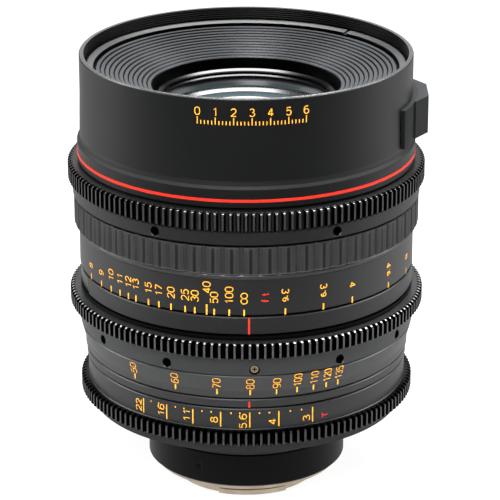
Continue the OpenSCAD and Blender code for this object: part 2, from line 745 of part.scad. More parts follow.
// Straight slots in the guide tube for a set of followers
module guide_slots(turn, count, z_follower, down, up) {
  reach = follower_r + end_play;
  half = follower_r + fit_gap;
  for (i = [0:count - 1])
    at(turn + i * 360 / count)
      translate([guide_bore_r - over, -half, z_follower - down - reach])
      cube([guide_wall + 2 * over, 2 * half, down + up + 2 * reach]);
}

// Half the height along the axis that a round follower needs in a sloping slot
function slot_half(lead) = (follower_r + fit_gap) / cos(atan(lead / cam_bore_r)) + fit_gap;

// Helical slots in a cam tube for a set of followers
module cam_slots(turn, count, z_follower, lead, back, ahead) {
  play = (follower_r + end_play) / cam_bore_r * 180 / PI;
  for (i = [0:count - 1])
    at(turn + i * 360 / count)
      helix_slot(
        -back - play, ahead + play,
        cam_bore_r - over, cam_r + over,
        z_follower, lead, slot_half(lead)
      );
}

// A key block between two radii, with its inner end hollowed to fit the tube that it sits on
module key(turn, z, r0, r1, h) {
  difference() {
    at(turn)
      translate([r0 - over, -key_w / 2, z - h / 2])
      cube([r1 - r0 + over, key_w, h]);
    translate([0, 0, z - h]) cylinder(r = r0, h = 2 * h);
  }
}

// The pocket that a key fills in a ring's bore
module key_socket(turn, z, r1, h) {
  half = key_w / 2 + seat_gap;
  at(turn)
    translate([housing_bore_r, -half, z - h / 2 - seat_gap])
    cube([r1 - housing_bore_r, 2 * half, h + 2 * seat_gap]);
}

// Screws along the axis round a circle
module ring_of(count, turn) {
  for (i = [0:count - 1])
    at(turn + i * 360 / count) children();
}

module front_barrel() {
  color("#26262a")
  difference() {
    rotate_extrude() polygon([
      [housing_r + seat_gap, z_front0],
      [collar_r - seam_gap, z_front0],
      [collar_r, z_front0 + seam_gap],
      [collar_r, z_front0 + collar_h],
      [
        collar_r - (collar_r - front_low_r) * flare_out_share,
        z_front0 + collar_h + flare_h * flare_up_share
      ],
      [front_low_r, z_foot - pad_h / 2],
      [front_r, z_foot + pad_h / 2 + seam_gap],
      [front_r, z_front1 - seam_gap],
      [front_r - seam_gap, z_front1],
      [filter_r, z_front1],
      [filter_r, z_filter0],
      [ledge_ring_r + seat_gap, z_filter0],
      [ledge_ring_r + seat_gap, z_ledge0],
      [baffle_rim_r + seat_gap, z_ledge0],
      [baffle_rim_r + seat_gap, z_baffle_rim0],
      [barrel_bore_r, z_baffle_rim0],
      [barrel_bore_r, z_guide1],
      [guide_r + seat_gap, z_guide1],
      [guide_r + seat_gap, z_housing1],
      [housing_r + seat_gap, z_housing1]
    ]);
    ring(
      collar_r + over, collar_r - red_ring_t,
      z_front0 + red_ring_up, z_front0 + red_ring_up + red_ring_h
    );
    foot_screw_holes(foot_screw_shank_r + seat_gap, front_r - foot_screw_deep, front_r + over);
  }
}

module red_ring() {
  color("#e8402f")
    ring(
      collar_r + red_ring_rise, collar_r - red_ring_t + seat_gap,
      z_front0 + red_ring_up + seat_gap, z_front0 + red_ring_up + red_ring_h - seat_gap
    );
}

module filter_ledge_ring() {
  color("#1b1b1e")
  difference() {
    rotate_extrude() polygon([
      [ledge_bore_r, z_baffle_rim1 + seat_gap],
      [baffle_rim_r, z_baffle_rim1 + seat_gap],
      [baffle_rim_r, z_ledge0 + seat_gap],
      [ledge_ring_r, z_ledge0 + seat_gap],
      [ledge_ring_r, z_filter0 - seat_gap],
      [ledge_bore_r, z_filter0 - ledge_fall]
    ]);
    at(ledge_notch_turn)
      translate([ledge_bore_r - over, -ledge_notch_w / 2, z_ledge0 + ledge_fall])
      cube([ledge_ring_r - ledge_bore_r + 2 * over, ledge_notch_w, ledge_ring_t]);
  }
}

// Ribbed cone: each step rises a little against the slope, so that its face turns stray light away
module front_baffle() {
  run = (baffle_edge_r - baffle_bore_r) / baffle_steps;
  drop = baffle_fall / baffle_steps;
  color("#2c2c30")
  rotate_extrude() polygon(concat(
    [
      for (i = [0:baffle_steps - 1])
        for (p = [
          [baffle_edge_r - i * run, z_baffle_edge - i * drop],
          [
            baffle_edge_r - (i + step_crest_share) * run,
            z_baffle_edge - (i + step_crest_share) * drop + baffle_step_rise
          ],
          [
            baffle_edge_r - (i + step_foot_share) * run,
            z_baffle_edge - (i + 1) * drop - baffle_step_rise / 4
          ]
        ])
          p
    ],
    [
      [baffle_bore_r, z_baffle_bore],
      [baffle_bore_r, z_baffle0],
      [baffle_bore_r + baffle_wall, z_baffle0],
      [baffle_bore_r + baffle_wall, z_baffle_bore - baffle_wall],
      [baffle_edge_r, z_baffle_rim0],
      [baffle_rim_r, z_baffle_rim0 + seat_gap],
      [baffle_rim_r, z_baffle_rim1],
      [baffle_edge_r, z_baffle_rim1]
    ]
  ));
}

module front_cell() {
  seat_z = z_second_glass0 - seat_gap;
  color("#1b1b1e")
  rotate_extrude() polygon([
    [front_cell_bore_r - front_seat_w, z_cell0],
    [barrel_bore_r - seat_gap, z_cell0],
    [barrel_bore_r - seat_gap, z_cell0 + front_cell_foot_t],
    [front_cell_r, z_cell0 + front_cell_foot_t],
    [front_cell_r, z_cell1],
    [front_cell_bore_r, z_cell1],
    [front_cell_bore_r, seat_z],
    [front_cell_bore_r - front_seat_w, seat_z]
  ]);
}

module front_element() {
  color("#9fb4bc")
    element(front_glass_r, z_front_glass0, z_front_glass1, front_glass_curve, -front_glass_curve * 3);
}

module second_element() {
  color("#9fb4bc")
    element(front_glass_r, z_second_glass0, z_second_glass1, front_glass_curve * 3, -front_glass_curve * 2);
}

module front_retaining_ring() {
  color("#1b1b1e")
  rotate_extrude() polygon([
    [retainer_bore_r, z_retainer0],
    [front_glass_r, z_retainer0],
    [front_glass_r, z_retainer1],
    [retainer_bore_r + retainer_wall / 3, z_retainer1],
    [retainer_bore_r, z_retainer1 - retainer_wall / 3]
  ]);
}

module focus_gear_ring() {
  run_out = focus_tip_r - focus_gear_band_r;
  color("#1d1d20")
  difference() {
    rotate_extrude() polygon([
      [ring_bore_r, z_gear0],
      [focus_gear_band_r - seam_gap, z_gear0],
      [focus_gear_band_r, z_gear0 + seam_gap],
      [focus_gear_band_r, z_focus_teeth0],
      [focus_tip_r, z_focus_teeth0 + run_out * run_out_share],
      [focus_tip_r, z_gear1 - tooth_bevel],
      [focus_tip_r - bevel_share * tooth_bevel, z_gear1],
      [ring_bore_r, z_gear1]
    ]);
    tooth_gaps(focus_teeth, z_focus_teeth0 - tooth_bevel / 2, z_gear1 + over);
    focus_screw_places() screw_hole(focus_gear_band_r);
  }
}

// The hole of a headless screw in a band of this radius, with its bevelled mouth
module screw_hole(band_r) {
  foot = band_r - set_screw_sink - set_screw_l;
  translate([0, 0, foot])
    cylinder(r = set_screw_r + seat_gap, h = band_r - foot + over);
  translate([0, 0, band_r - screw_mouth])
    cylinder(r1 = set_screw_r, r2 = set_screw_r + screw_mouth + over, h = screw_mouth + over);
}

// The screws stand to the left and right of the front, half a step from it
module focus_screw_places() {
  for (i = [0:focus_screw_count - 1])
    radial((i + 0.5) * 360 / focus_screw_count, (z_gear0 + z_focus_teeth0) / 2) children();
}

module focus_set_screws() {
  color("#101012")
  focus_screw_places() set_screw(focus_gear_band_r);
}

// A headless screw with a hexagon socket in its outer end, in the hole of a band of this radius
module set_screw(band_r) {
  translate([0, 0, band_r - set_screw_sink - set_screw_l + seat_gap])
    difference() {
      cylinder(r = set_screw_r, h = set_screw_l);
      translate([0, 0, set_screw_l - socket_depth])
        cylinder(r = socket_r, h = socket_depth + over, $fn = 6);
    }
}

module focus_ring() {
  bead0 = z_focus0 + focus_scale_h;
  grip0 = bead0 + bead_h;
  color("#333337")
  difference() {
    rotate_extrude() polygon([
      [ring_bore_r, z_focus0],
      [focus_band_r - seam_gap, z_focus0],
      [focus_band_r, z_focus0 + seam_gap],
      [focus_band_r, bead0],
      [focus_band_r + bead_rise, bead0 + bead_rise],
      [focus_band_r + bead_rise, grip0 - bead_rise],
      [focus_band_r + bead_rise / 2, grip0],
      [grip_bore_r, grip0],
      [grip_bore_r, z_focus1],
      [ring_bore_r, z_focus1]
    ]);
    key_socket(focus_key_turn, z_focus_key, key_socket_r, key_h);
  }
}

// Rubber sleeve with wide flat ribs
module focus_grip() {
  grip0 = z_focus0 + focus_scale_h + bead_h + seat_gap;
  grip1 = grip0 + grip_h;
  bore = grip_bore_r + seat_gap;
  color("#39393d")
  difference() {
    rotate_extrude() polygon([
      [bore, grip0],
      [grip_r - 2 * rib_bevel, grip0],
      [grip_r, grip0 + rib_bevel],
      [grip_r, grip1 - rib_bevel],
      [grip_r - 2 * rib_bevel, grip1],
      [bore, grip1]
    ]);
    for (i = [0:grip_ribs - 1])
      at(rib_turn + i * 360 / grip_ribs)
        translate([0, 0, grip0 - over])
        linear_extrude(grip_h + 2 * over)
        polygon([
          [grip_r - rib_groove_d, -rib_groove_w / 4],
          [grip_r + over, -rib_groove_w / 2 - over / 2],
          [grip_r + over, rib_groove_w / 2 + over / 2],
          [grip_r - rib_groove_d, rib_groove_w / 4]
        ]);
  }
}

module focus_key() {
  color("#b08d4a")
    key(focus_key_turn, z_focus_key, cam_r + seat_gap, key_socket_r - seat_gap, key_h);
}

module focus_cam_tube() {
  color("#8a8d90")
  difference() {
    ring(cam_r, cam_bore_r, z_focus_cam0, z_focus_cam1);
    cam_slots(
      focus_follower_turn, focus_follower_count,
      z_focus_follower, focus_lead, 0, focus_throw
    );
  }
}

module focus_cell() {
  color("#2a2a2d")
    moving_cell(
      z_focus_group - focus_cell_l / 2, focus_cell_l,
      focus_follower_turn, focus_follower_count, z_focus_follower
    );
}

module focus_element() {
  seat = z_focus_group + cell_wall / 6 + seat_gap;
  color("#9fb4bc")
    element(cell_bore_r - seat_gap, seat, seat + focus_glass_edge, focus_curve, -variator_curve);
}

module focus_followers() {
  color("#c9a24c")
    followers(focus_follower_turn, focus_follower_count, z_focus_follower);
}

module index_ring() {
  color("#2b2b2f")
  difference() {
    rotate_extrude() polygon([
      [housing_r + seat_gap, z_index0],
      [index_ring_r - seam_gap, z_index0],
      [index_ring_r, z_index0 + seam_gap],
      [index_ring_r, z_index1 - seam_gap],
      [index_ring_r - seam_gap, z_index1],
      [housing_r + seat_gap, z_index1]
    ]);
    arc_slot(
      plate_turn - plate_half_angle, plate_turn + plate_half_angle,
      index_ring_r - plate_depth, index_ring_r + over, z_index0 - over, z_index1 + over
    );
  }
}

module spacer_ring() {
  color("#3a3a3e")
    ring(spacer_r, housing_r + seat_gap, z_spacer0, z_spacer1);
}

module zoom_gear_ring() {
  run_out = zoom_tip_r - zoom_band_r;
  color("#1d1d20")
  difference() {
    rotate_extrude() polygon([
      [zoom_gear_bore_r, z_zoom_band0],
      [zoom_band_r - seam_gap, z_zoom_band0],
      [zoom_band_r, z_zoom_band0 + seam_gap],
      [zoom_band_r, z_zoom_teeth0 - seam_gap],
      [zoom_band_r + run_out / 2, z_zoom_teeth0],
      [zoom_tip_r, z_zoom_teeth0 + run_out / 4],
      [zoom_tip_r, z_zoom1 - tooth_bevel],
      [zoom_tip_r - bevel_share * tooth_bevel, z_zoom1],
      [zoom_gear_bore_r, z_zoom1]
    ]);
    rotate([0, 0, 180 / zoom_teeth])
      tooth_gaps(zoom_teeth, z_zoom_teeth0 - over, z_zoom1 + over);
    zoom_screw_places() screw_hole(zoom_band_r);
    radial(zoom_key_turn, z_zoom_key)
      translate([0, 0, zoom_gear_bore_r - over])
      cylinder(r = key_screw_head_r + key_screw_air, h = zoom_band_r - zoom_gear_bore_r + 2 * over);
  }
}

// The zoom band's socket screws stand on both sides of the key screw, front and back
module zoom_screw_places() {
  for (side = [0, 180], i = [-2, -1, 1, 2])
    radial(zoom_key_turn + side + i * zoom_screw_turn, z_zoom_key) children();
}

module zoom_set_screws() {
  color("#101012")
  zoom_screw_places() set_screw(zoom_band_r);
}

module zoom_scale_ring() {
  sleeve_r = zoom_gear_bore_r - seat_gap;
  color("#4a4a4e")
  difference() {
    rotate_extrude() polygon([
      [ring_bore_r, z_zoom0],
      [zoom_scale_low_r - seam_gap, z_zoom0],
      [zoom_scale_low_r, z_zoom0 + seam_gap],
      [zoom_scale_low_r, z_zoom0 + zoom_foot_h],
      [zoom_scale_top_r, z_zoom_band0 - 2 * seam_gap],
      [zoom_scale_top_r - seam_gap, z_zoom_band0 - seam_gap],
      [sleeve_r, z_zoom_band0 - seam_gap],
      [sleeve_r, z_zoom1 - seam_gap],
      [ring_bore_r, z_zoom1 - seam_gap]
    ]);
    key_socket(zoom_key_turn, z_zoom_key, key_socket_r, key_h);
    zoom_screw_places() screw_hole(zoom_band_r);
    radial(zoom_key_turn, z_zoom_key)
      translate([0, 0, housing_r])
      cylinder(r = key_screw_shank_r + seat_gap, h = zoom_band_r - housing_r);
    radial(zoom_key_turn, z_zoom_key)
      translate([0, 0, key_head_r0])
      cylinder(r = key_screw_head_r + seat_gap, h = zoom_band_r - key_head_r0);
  }
}

module zoom_key() {
  color("#b08d4a")
  difference() {
    key(zoom_key_turn, z_zoom_key, cam_r + seat_gap, key_socket_r - seat_gap, key_h);
    radial(zoom_key_turn, z_zoom_key)
      cylinder(r = key_screw_shank_r + seat_gap, h = zoom_band_r);
  }
}

module zoom_key_screw() {
  color("#b9a77c")
  radial(zoom_key_turn, z_zoom_key)
    difference() {
      union() {
        translate([0, 0, cam_r + seam_gap])
          cylinder(r = key_screw_shank_r, h = key_head_r0 - cam_r);
        translate([0, 0, key_head_r0 + seat_gap])
          cylinder(r = key_screw_head_r, h = key_screw_head_t);
      }
      cross_slot(key_head_r0 + key_screw_head_t, key_screw_head_r, key_screw_head_t / 2);
    }
}

// A cross recess cut into a screw head whose top is at height top
module cross_slot(top, head_r, depth) {
  arm = head_r * slot_arm_share;
  width = head_r * slot_width_share;
  for (turn = [0, 90])
    rotate([0, 0, turn])
      translate([-arm / 2, -width / 2, top - depth])
      cube([arm, width, depth + over]);
}

module zoom_cam_tube() {
  color("#8a8d90")
  difference() {
    ring(cam_r, cam_bore_r, z_zoom_cam0, z_zoom_cam1);
    cam_slots(
      variator_follower_turn, follower_count,
      z_variator, variator_lead, zoom_to_long, zoom_to_wide
    );
    cam_slots(
      compensator_follower_turn, follower_count,
      z_compensator, -compensator_lead, zoom_to_long, zoom_to_wide
    );
  }
}

module variator_cell() {
  color("#2a2a2d")
    moving_cell(
      z_variator - variator_cell_l / 2, variator_cell_l,
      variator_follower_turn, follower_count, z_variator
    );
}

module variator_front_element() {
  seat = z_variator + cell_wall / 6 + seat_gap;
  color("#9fb4bc")
    element(
      cell_bore_r - seat_gap, seat, seat + variator_front_edge,
      -variator_curve, -variator_curve
    );
}

module variator_rear_element() {
  seat = z_variator - cell_wall / 6 - seat_gap;
  color("#9fb4bc")
    element(
      cell_bore_r - seat_gap, seat - variator_rear_edge, seat,
      -variator_curve, variator_curve
    );
}

module variator_followers() {
  color("#c9a24c")
    followers(variator_follower_turn, follower_count, z_variator);
}

module compensator_cell() {
  color("#2a2a2d")
    moving_cell(
      z_compensator - compensator_cell_l / 2, compensator_cell_l,
      compensator_follower_turn, follower_count, z_compensator
    );
}

module compensator_element() {
  seat = z_compensator + cell_wall / 6 + seat_gap;
  color("#9fb4bc")
    element(
      cell_bore_r - seat_gap, seat, seat + compensator_glass_edge,
      compensator_curve, -compensator_curve
    );
}

module compensator_followers() {
  color("#c9a24c")
    followers(compensator_follower_turn, follower_count, z_compensator);
}

module guide_tube() {
  color("#6f7275")
  difference() {
    rotate_extrude() polygon([
      [guide_bore_r, z_shelf1],
      [housing_bore_r - seat_gap, z_shelf1],
      [housing_bore_r - seat_gap, z_guide_foot1],
      [guide_r, z_guide_foot1],
      [guide_r, z_guide1],
      [guide_bore_r, z_guide1]
    ]);
    guide_slots(variator_follower_turn, follower_count, z_variator, variator_down, variator_up);
    guide_slots(
      compensator_follower_turn, follower_count,
      z_compensator, compensator_down, compensator_up
    );
    guide_slots(focus_follower_turn, focus_follower_count, z_focus_follower, 0, focus_up);
  }
}

// Turn that a key needs past each end of its travel at this radius
function key_play(r) = asin((key_w / 2 + end_play) / r);

module main_housing() {
  play = key_play(housing_bore_r);
  low = housing_bore_r - over;
  high = housing_r + over;
  half = key_h / 2 + end_play;
  color("#55585b")
  difference() {
    rotate_extrude() polygon([
      [housing_bore_r, z_cover1],
      [housing_r, z_cover1],
      [housing_r, z_housing1],
      [housing_bore_r, z_housing1],
      [housing_bore_r, z_shelf1],
      [shelf_bore_r, z_shelf1],
      [shelf_bore_r, z_shelf0],
      [housing_bore_r, z_shelf0]
    ]);
    arc_slot(
      zoom_key_turn - zoom_to_long - play, zoom_key_turn + zoom_to_wide + play,
      low, high, z_zoom_key - half, z_zoom_key + half
    );
    arc_slot(
      focus_key_turn - play, focus_key_turn + focus_throw + play,
      low, high, z_focus_key - half, z_focus_key + half
    );
    iris_slot(low, high);
  }
}

// The slot that the iris drive ring's tab swings in
module iris_slot(r0, r1) {
  play = key_play(case_bore_r);
  arc_slot(
    iris_key_turn - iris_to_open - play, iris_key_turn + iris_to_small + play,
    r0, r1, z_drive0 - blade_t / 2, z_drive1 + blade_t / 2
  );
}

module iris_index_ring() {
  color("#45454a")
  rotate_extrude() polygon([
    [housing_r + seat_gap, z_iris_index0],
    [iris_index_r - seam_gap, z_iris_index0],
    [iris_index_r, z_iris_index0 + seam_gap],
    [iris_index_r, z_iris_index1 - seam_gap],
    [iris_index_r - seam_gap, z_iris_index1],
    [housing_r + seat_gap, z_iris_index1]
  ]);
}

module iris_ring() {
  run_out = iris_tip_r - iris_band_r;
  color("#2c2c30")
  difference() {
    rotate_extrude() polygon([
      [ring_bore_r, z_iris0],
      [iris_tip_r - tooth_bevel, z_iris0],
      [iris_tip_r, z_iris0 + tooth_bevel / 2],
      [iris_tip_r, z_iris_teeth1 - tooth_bevel],
      [iris_tip_r - bevel_share * tooth_bevel, z_iris_teeth1],
      [iris_band_r + run_out / 8, z_iris_teeth1],
      [iris_band_r, z_iris_teeth1 + seam_gap],
      [iris_band_r, z_iris1 - seam_gap],
      [iris_band_r - seam_gap, z_iris1],
      [ring_bore_r, z_iris1]
    ]);
    tooth_gaps(iris_teeth, z_iris0 - over, z_iris_teeth1 + over);
    at(iris_key_turn)
      translate([housing_bore_r, -key_w / 2 - seat_gap, z_iris0 - over])
      cube([
        key_socket_r - housing_bore_r, key_w + 2 * seat_gap,
        z_drive1 + seat_gap - z_iris0 + over
      ]);
  }
}

module iris_case() {
  color("#3c3f42")
  difference() {
    rotate_extrude() polygon([
      [iris_open_r, z_cover1],
      [case_r, z_cover1],
      [case_r, z_case1],
      [case_bore_r, z_case1],
      [case_bore_r, z_cover1 + iris_plate_t],
      [iris_open_r, z_cover1 + iris_plate_t]
    ]);
    iris_slot(case_bore_r - over, case_r + over);
    ring_of(blade_count, 0)
      translate([pivot_circle_r, 0, z_cover1 + iris_plate_t / 4])
      cylinder(r = pivot_r + fit_gap, h = iris_plate_t);
  }
}

module iris_cover() {
  color("#3c3f42")
    ring(case_bore_r - seat_gap, iris_open_r, z_iris_cover0, z_iris_cover1);
}

// Place of a blade's drive pin, seen from the turned drive ring, at this angle of the iris ring
function drive_point(turn) =
  let (
    swing = (turn + iris_to_open) * blade_ratio - blade_full_turn / 2 - 90,
    x = pivot_circle_r + blade_arm * cos(swing),
    y = blade_arm * sin(swing)
  )
  [x * cos(turn) + y * sin(turn), y * cos(turn) - x * sin(turn)];

// A curved slot that the drive pin follows as the iris ring turns
module drive_slot() {
  half = drive_pin_r + 2 * fit_gap;
  steps = curve_steps;
  turns = [for (i = [0:steps]) -iris_to_open + (iris_to_open + iris_to_small) * i / steps];
  points = [for (t = turns) drive_point(t)];
  normals = [
    for (i = [0:steps])
      let (
        a = points[max(i - 1, 0)],
        b = points[min(i + 1, steps)],
        l = norm(b - a)
      )
      [(b[1] - a[1]) / l, (a[0] - b[0]) / l]
  ];
  translate([0, 0, z_drive0 - over]) linear_extrude(iris_plate_t + 2 * over) union() {
    polygon(concat(
      [for (i = [0:steps]) points[i] + half * normals[i]],
      [for (i = [steps:-1:0]) points[i] - half * normals[i]]
    ));
    for (p = [points[0], points[steps]])
      translate(p) circle(r = half);
  }
}

module iris_drive_ring() {
  color("#c9a24c")
  difference() {
    union() {
      ring(drive_ring_r, drive_ring_bore_r, z_drive0, z_drive1);
      at(iris_key_turn)
        translate([drive_ring_r - over, -key_w / 2, z_drive0])
        cube([key_socket_r - seat_gap - drive_ring_r + over, key_w, iris_plate_t]);
    }
    ring_of(blade_count, 0) drive_slot();
  }
}

// One blade: a crescent, an ear over its pivot, an arm to its drive pin, and the two pins.
// Each blade lies on a level of its own, so its pins differ in length.
module iris_blade(number) {
  level = z_blade0 + number * blade_pitch;
  pin_foot = z_cover1 + iris_plate_t / 4 + fit_gap;
  arm_turn = -90 - blade_full_turn / 2;
  ear = 2 * pivot_r + fit_gap;
  pin_ear = drive_pin_r * pin_ear_share;
  color("#2f3134")
  at(number * 360 / blade_count)
    translate([pivot_circle_r, 0, 0])
    rotate([0, 0, blade_rest_turn])
    union() {
      translate([-pivot_circle_r, 0, level]) crescent();
      translate([-pivot_circle_r + blade_rim_r - ear, -ear, level])
        cube([pivot_circle_r - blade_rim_r + ear, 2 * ear, blade_t]);
      translate([0, 0, level]) cylinder(r = ear, h = blade_t);
      rotate([0, 0, arm_turn])
        translate([0, -pin_ear, level])
        cube([blade_arm, 2 * pin_ear, blade_t]);
      rotate([0, 0, arm_turn]) translate([blade_arm, 0, 0]) {
        translate([0, 0, level]) cylinder(r = pin_ear, h = blade_t);
        translate([0, 0, level])
          cylinder(r = drive_pin_r, h = z_drive1 - level - fit_gap);
      }
      translate([0, 0, pin_foot]) cylinder(r = pivot_r, h = level + blade_t - pin_foot);
    }
}

// The curved plate of a blade, drawn as it lies when the iris is open
module crescent() {
  rotate([0, 0, -blade_back])
    rotate_extrude(angle = blade_span)
    translate([blade_bore_r, 0])
    square([blade_rim_r - blade_bore_r, blade_t]);
}

module rear_cover() {
  deck0 = z_cover1 - rear_deck_t;
  rim0 = z_cover1 - rear_rim_h;
  cone0 = z_cover0 + neck_h;
  color("#232327")
  rotate_extrude() polygon([
    [neck_r - rear_cover_wall, z_cover0],
    [neck_r, z_cover0],
    [neck_r, cone0],
    [rear_cover_r, rim0],
    [rear_cover_r, z_cover1],
    [rear_deck_bore_r, z_cover1],
    [rear_deck_bore_r, deck0],
    [neck_r - rear_cover_wall + deck0 - cone0, deck0],
    [neck_r - rear_cover_wall, cone0]
  ]);
}

module rear_cell() {
  deck0 = z_cover1 - rear_deck_t;
  bore = rear_cell_r - rear_cell_wall;
  cell0 = deck0 - seat_gap - rear_cell_l;
  foot_t = rear_cell_wall * cell_foot_share;
  color("#1b1b1e")
  rotate_extrude() polygon([
    [bore - rear_cell_wall / 2, cell0],
    [rear_cell_r, cell0],
    [rear_cell_r, deck0 - seat_gap - foot_t],
    [neck_r - rear_cover_wall - seat_gap, deck0 - seat_gap - foot_t],
    [neck_r - rear_cover_wall - seat_gap, deck0 - seat_gap],
    [bore, deck0 - seat_gap],
    [bore, cell0 + rear_cell_wall / 2],
    [bore - rear_cell_wall / 2, cell0 + rear_cell_wall / 2]
  ]);
}

module relay_element() {
  r = rear_cell_r - rear_cell_wall - seat_gap;
  top = z_cover1 - rear_deck_t - rear_cell_wall;
  color("#9fb4bc")
    element(r, top - relay_glass_edge, top, r * relay_curve_share, r * relay_rear_share);
}

module rear_element() {
  r = rear_cell_r - rear_cell_wall - seat_gap;
  seat = z_cover1 - rear_deck_t - rear_cell_l + rear_cell_wall / 2;
  color("#9fb4bc")
    element(r, seat, seat + relay_glass_edge, r * relay_curve_share, -2 * r * relay_rear_share);
}

module rear_barrel() {
  sleeve_r = neck_r - rear_cover_wall - seat_gap;
  sleeve_top = z_cover0 + neck_h;
  foot_bore = rear_cell_r + ring_gap;
  color("#19191c")
  difference() {
    rotate_extrude() polygon([
      [foot_bore, z_barrel0],
      [flange_r - flange_step + seat_gap, z_barrel0],
      [flange_r - flange_step + seat_gap, flange_rim_h + seam_gap],
      [rear_barrel_r - rear_barrel_bevel, flange_rim_h + seam_gap],
      [rear_barrel_r, flange_rim_h + seam_gap + rear_barrel_bevel],
      [rear_barrel_r, z_barrel1 - seam_gap],
      [rear_barrel_r - seam_gap, z_barrel1],
      [sleeve_r, z_barrel1],
      [sleeve_r, sleeve_top],
      [rear_barrel_bore_r, sleeve_top],
      [rear_barrel_bore_r, z_barrel0 + rear_foot_h],
      [foot_bore, z_barrel0 + rear_foot_h]
    ]);
    rear_screw_places(rear_barrel_r - rear_screw_l)
      cylinder(r = rear_screw_r + seat_gap, h = rear_screw_l + over);
    ring_of(mount_screw_count, mount_screw_turn)
      translate([mount_screw_circle_r, 0, z_barrel0 - over])
      cylinder(
        r = mount_screw_shank_r + seat_gap,
        h = over + mount_screw_reach + seam_gap - flange_t
      );
  }
}

module rear_screw_places(r) {
  for (i = [0:rear_screw_count - 1])
    radial(rear_screw_turn + i * 360 / rear_screw_count, z_barrel0 + rear_screw_up)
      translate([0, 0, r])
      children();
}

module rear_barrel_screws() {
  color("#0f0f11")
  rear_screw_places(rear_barrel_r - rear_screw_l + seat_gap)
    difference() {
      cylinder(r = rear_screw_r, h = rear_screw_l - seam_gap);
      cross_slot(rear_screw_l - seam_gap, rear_screw_r, rear_screw_l / 4);
    }
}

module bayonet_mount() {
  color("#b9b2a4")
  difference() {
    union() {
      ring(flange_r, spigot_bore_r, 0, flange_rim_h);
      ring(flange_r - flange_step, spigot_bore_r, 0, flange_t);
      ring(spigot_r, spigot_bore_r, -spigot_h, 0);
      for (i = [0:lug_count - 1])
        rotate([0, 0, lug_turn - lug_angle / 2 - 90 + i * 360 / lug_count])
          rotate_extrude(angle = lug_angle)
          translate([spigot_r - rear_baffle_wall, lug_up - spigot_h])
          square([lug_r - spigot_r + rear_baffle_wall, lug_t]);
    }
    ring_of(mount_screw_count, mount_screw_turn)
      translate([mount_screw_circle_r, 0, -over])
      cylinder(r = mount_screw_shank_r + seat_gap, h = flange_t + 2 * over);
    ring_of(mount_screw_count, mount_screw_turn)
      translate([mount_screw_circle_r, 0, -over])
      cylinder(r = mount_screw_head_r + seat_gap, h = over + mount_screw_head_r);
  }
}

module mount_screws() {
  color("#a9a396")
  ring_of(mount_screw_count, mount_screw_turn)
    translate([mount_screw_circle_r, 0, 0])
    difference() {
      union() {
        translate([0, 0, seat_gap])
          cylinder(r = mount_screw_head_r, h = mount_screw_head_r - 2 * seat_gap);
        translate([0, 0, seat_gap])
          cylinder(r = mount_screw_shank_r, h = mount_screw_reach);
      }
      mirror([0, 0, 1]) cross_slot(-seat_gap, mount_screw_head_r, mount_screw_head_r / 2);
    }
}

// Dark cup inside the spigot, with a window as wide as the picture
module rear_baffle() {
  cup_r = spigot_bore_r - seat_gap;
  window_w = 2 * (cup_r - rear_baffle_wall) * rear_window_w_share;
  window_h = 2 * (cup_r - rear_baffle_wall) * rear_window_h_share;
  color("#0d0d0f")
  difference() {
    translate([0, 0, -spigot_h + seam_gap])
      cylinder(r = cup_r, h = spigot_h + flange_t - 2 * seam_gap);
    translate([0, 0, -spigot_h + seam_gap + rear_baffle_wall])
      cylinder(r = cup_r - rear_baffle_wall, h = spigot_h + flange_t);
    translate([-window_w / 2, -window_h / 2, -spigot_h])
      cube([window_w, window_h, spigot_h + flange_t]);
  }
}

// Holes for the foot's screws between two radii
module foot_screw_holes(r, r0, r1) {
  for (side = [-1, 1])
    radial(foot_turn, z_foot + side * foot_screw_off)
      translate([0, 0, r0])
      cylinder(r = r, h = r1 - r0);
}

module foot_pad() {
  color("#1f1f22")
  difference() {
    rotate([0, 0, foot_turn - pad_half_angle - 90])
      rotate_extrude(angle = 2 * pad_half_angle)
      polygon([
        [front_low_r + seat_gap, z_foot - pad_h / 2],
        [front_r + pad_t, z_foot - pad_h / 2],
        [front_r + pad_t, z_foot + pad_h / 2],
        [front_r + seat_gap, z_foot + pad_h / 2]
      ]);
    foot_screw_holes(foot_screw_shank_r + seat_gap, front_r - over, front_r + pad_t + over);
  }
}

module foot_block() {
  pad_r = front_r + pad_t + seat_gap;
  base = sqrt(pow(pad_r, 2) - pow(foot_base_w / 2, 2));
  color("#2e2e32")
  difference() {
    at(foot_turn)
      translate([0, 0, z_foot + pad_h / 2 - foot_h])
      linear_extrude(foot_h)
      polygon([
        [base - pad_t, -foot_base_w / 2],
        [base + pad_t / 3, -foot_base_w / 2],
        [foot_out, -foot_face_w / 2],
        [foot_out, foot_face_w / 2],
        [base + pad_t / 3, foot_base_w / 2],
        [base - pad_t, foot_base_w / 2]
      ]);
    translate([0, 0, z_foot - pad_h]) cylinder(r = pad_r, h = 2 * pad_h);
    radial(foot_turn, z_foot)
      translate([0, 0, foot_out - foot_hole_depth])
      cylinder(r = foot_hole_r, h = foot_hole_depth + over);
    foot_screw_holes(foot_screw_shank_r + seat_gap, front_r, foot_out + over);
    foot_screw_holes(foot_screw_head_r + seat_gap, foot_out - 2 * foot_screw_head_r, foot_out + over);
  }
}

module foot_screws() {
  color("#3b3b3f")
  for (side = [-1, 1])
    radial(foot_turn, z_foot + side * foot_screw_off)
      difference() {
        union() {
          translate([0, 0, foot_out - 2 * foot_screw_head_r + seat_gap])
            cylinder(r = foot_screw_head_r, h = foot_screw_head_r);
          translate([0, 0, front_r - foot_screw_deep + seam_gap])
            cylinder(
              r = foot_screw_shank_r,
              h = foot_out - 2 * foot_screw_head_r - front_r + foot_screw_deep
            );
        }
        translate([0, 0, foot_out - foot_screw_head_r - foot_screw_head_r / 2])
          cylinder(r = foot_screw_head_r / 2, h = foot_screw_head_r, $fn = 6);
      }
}

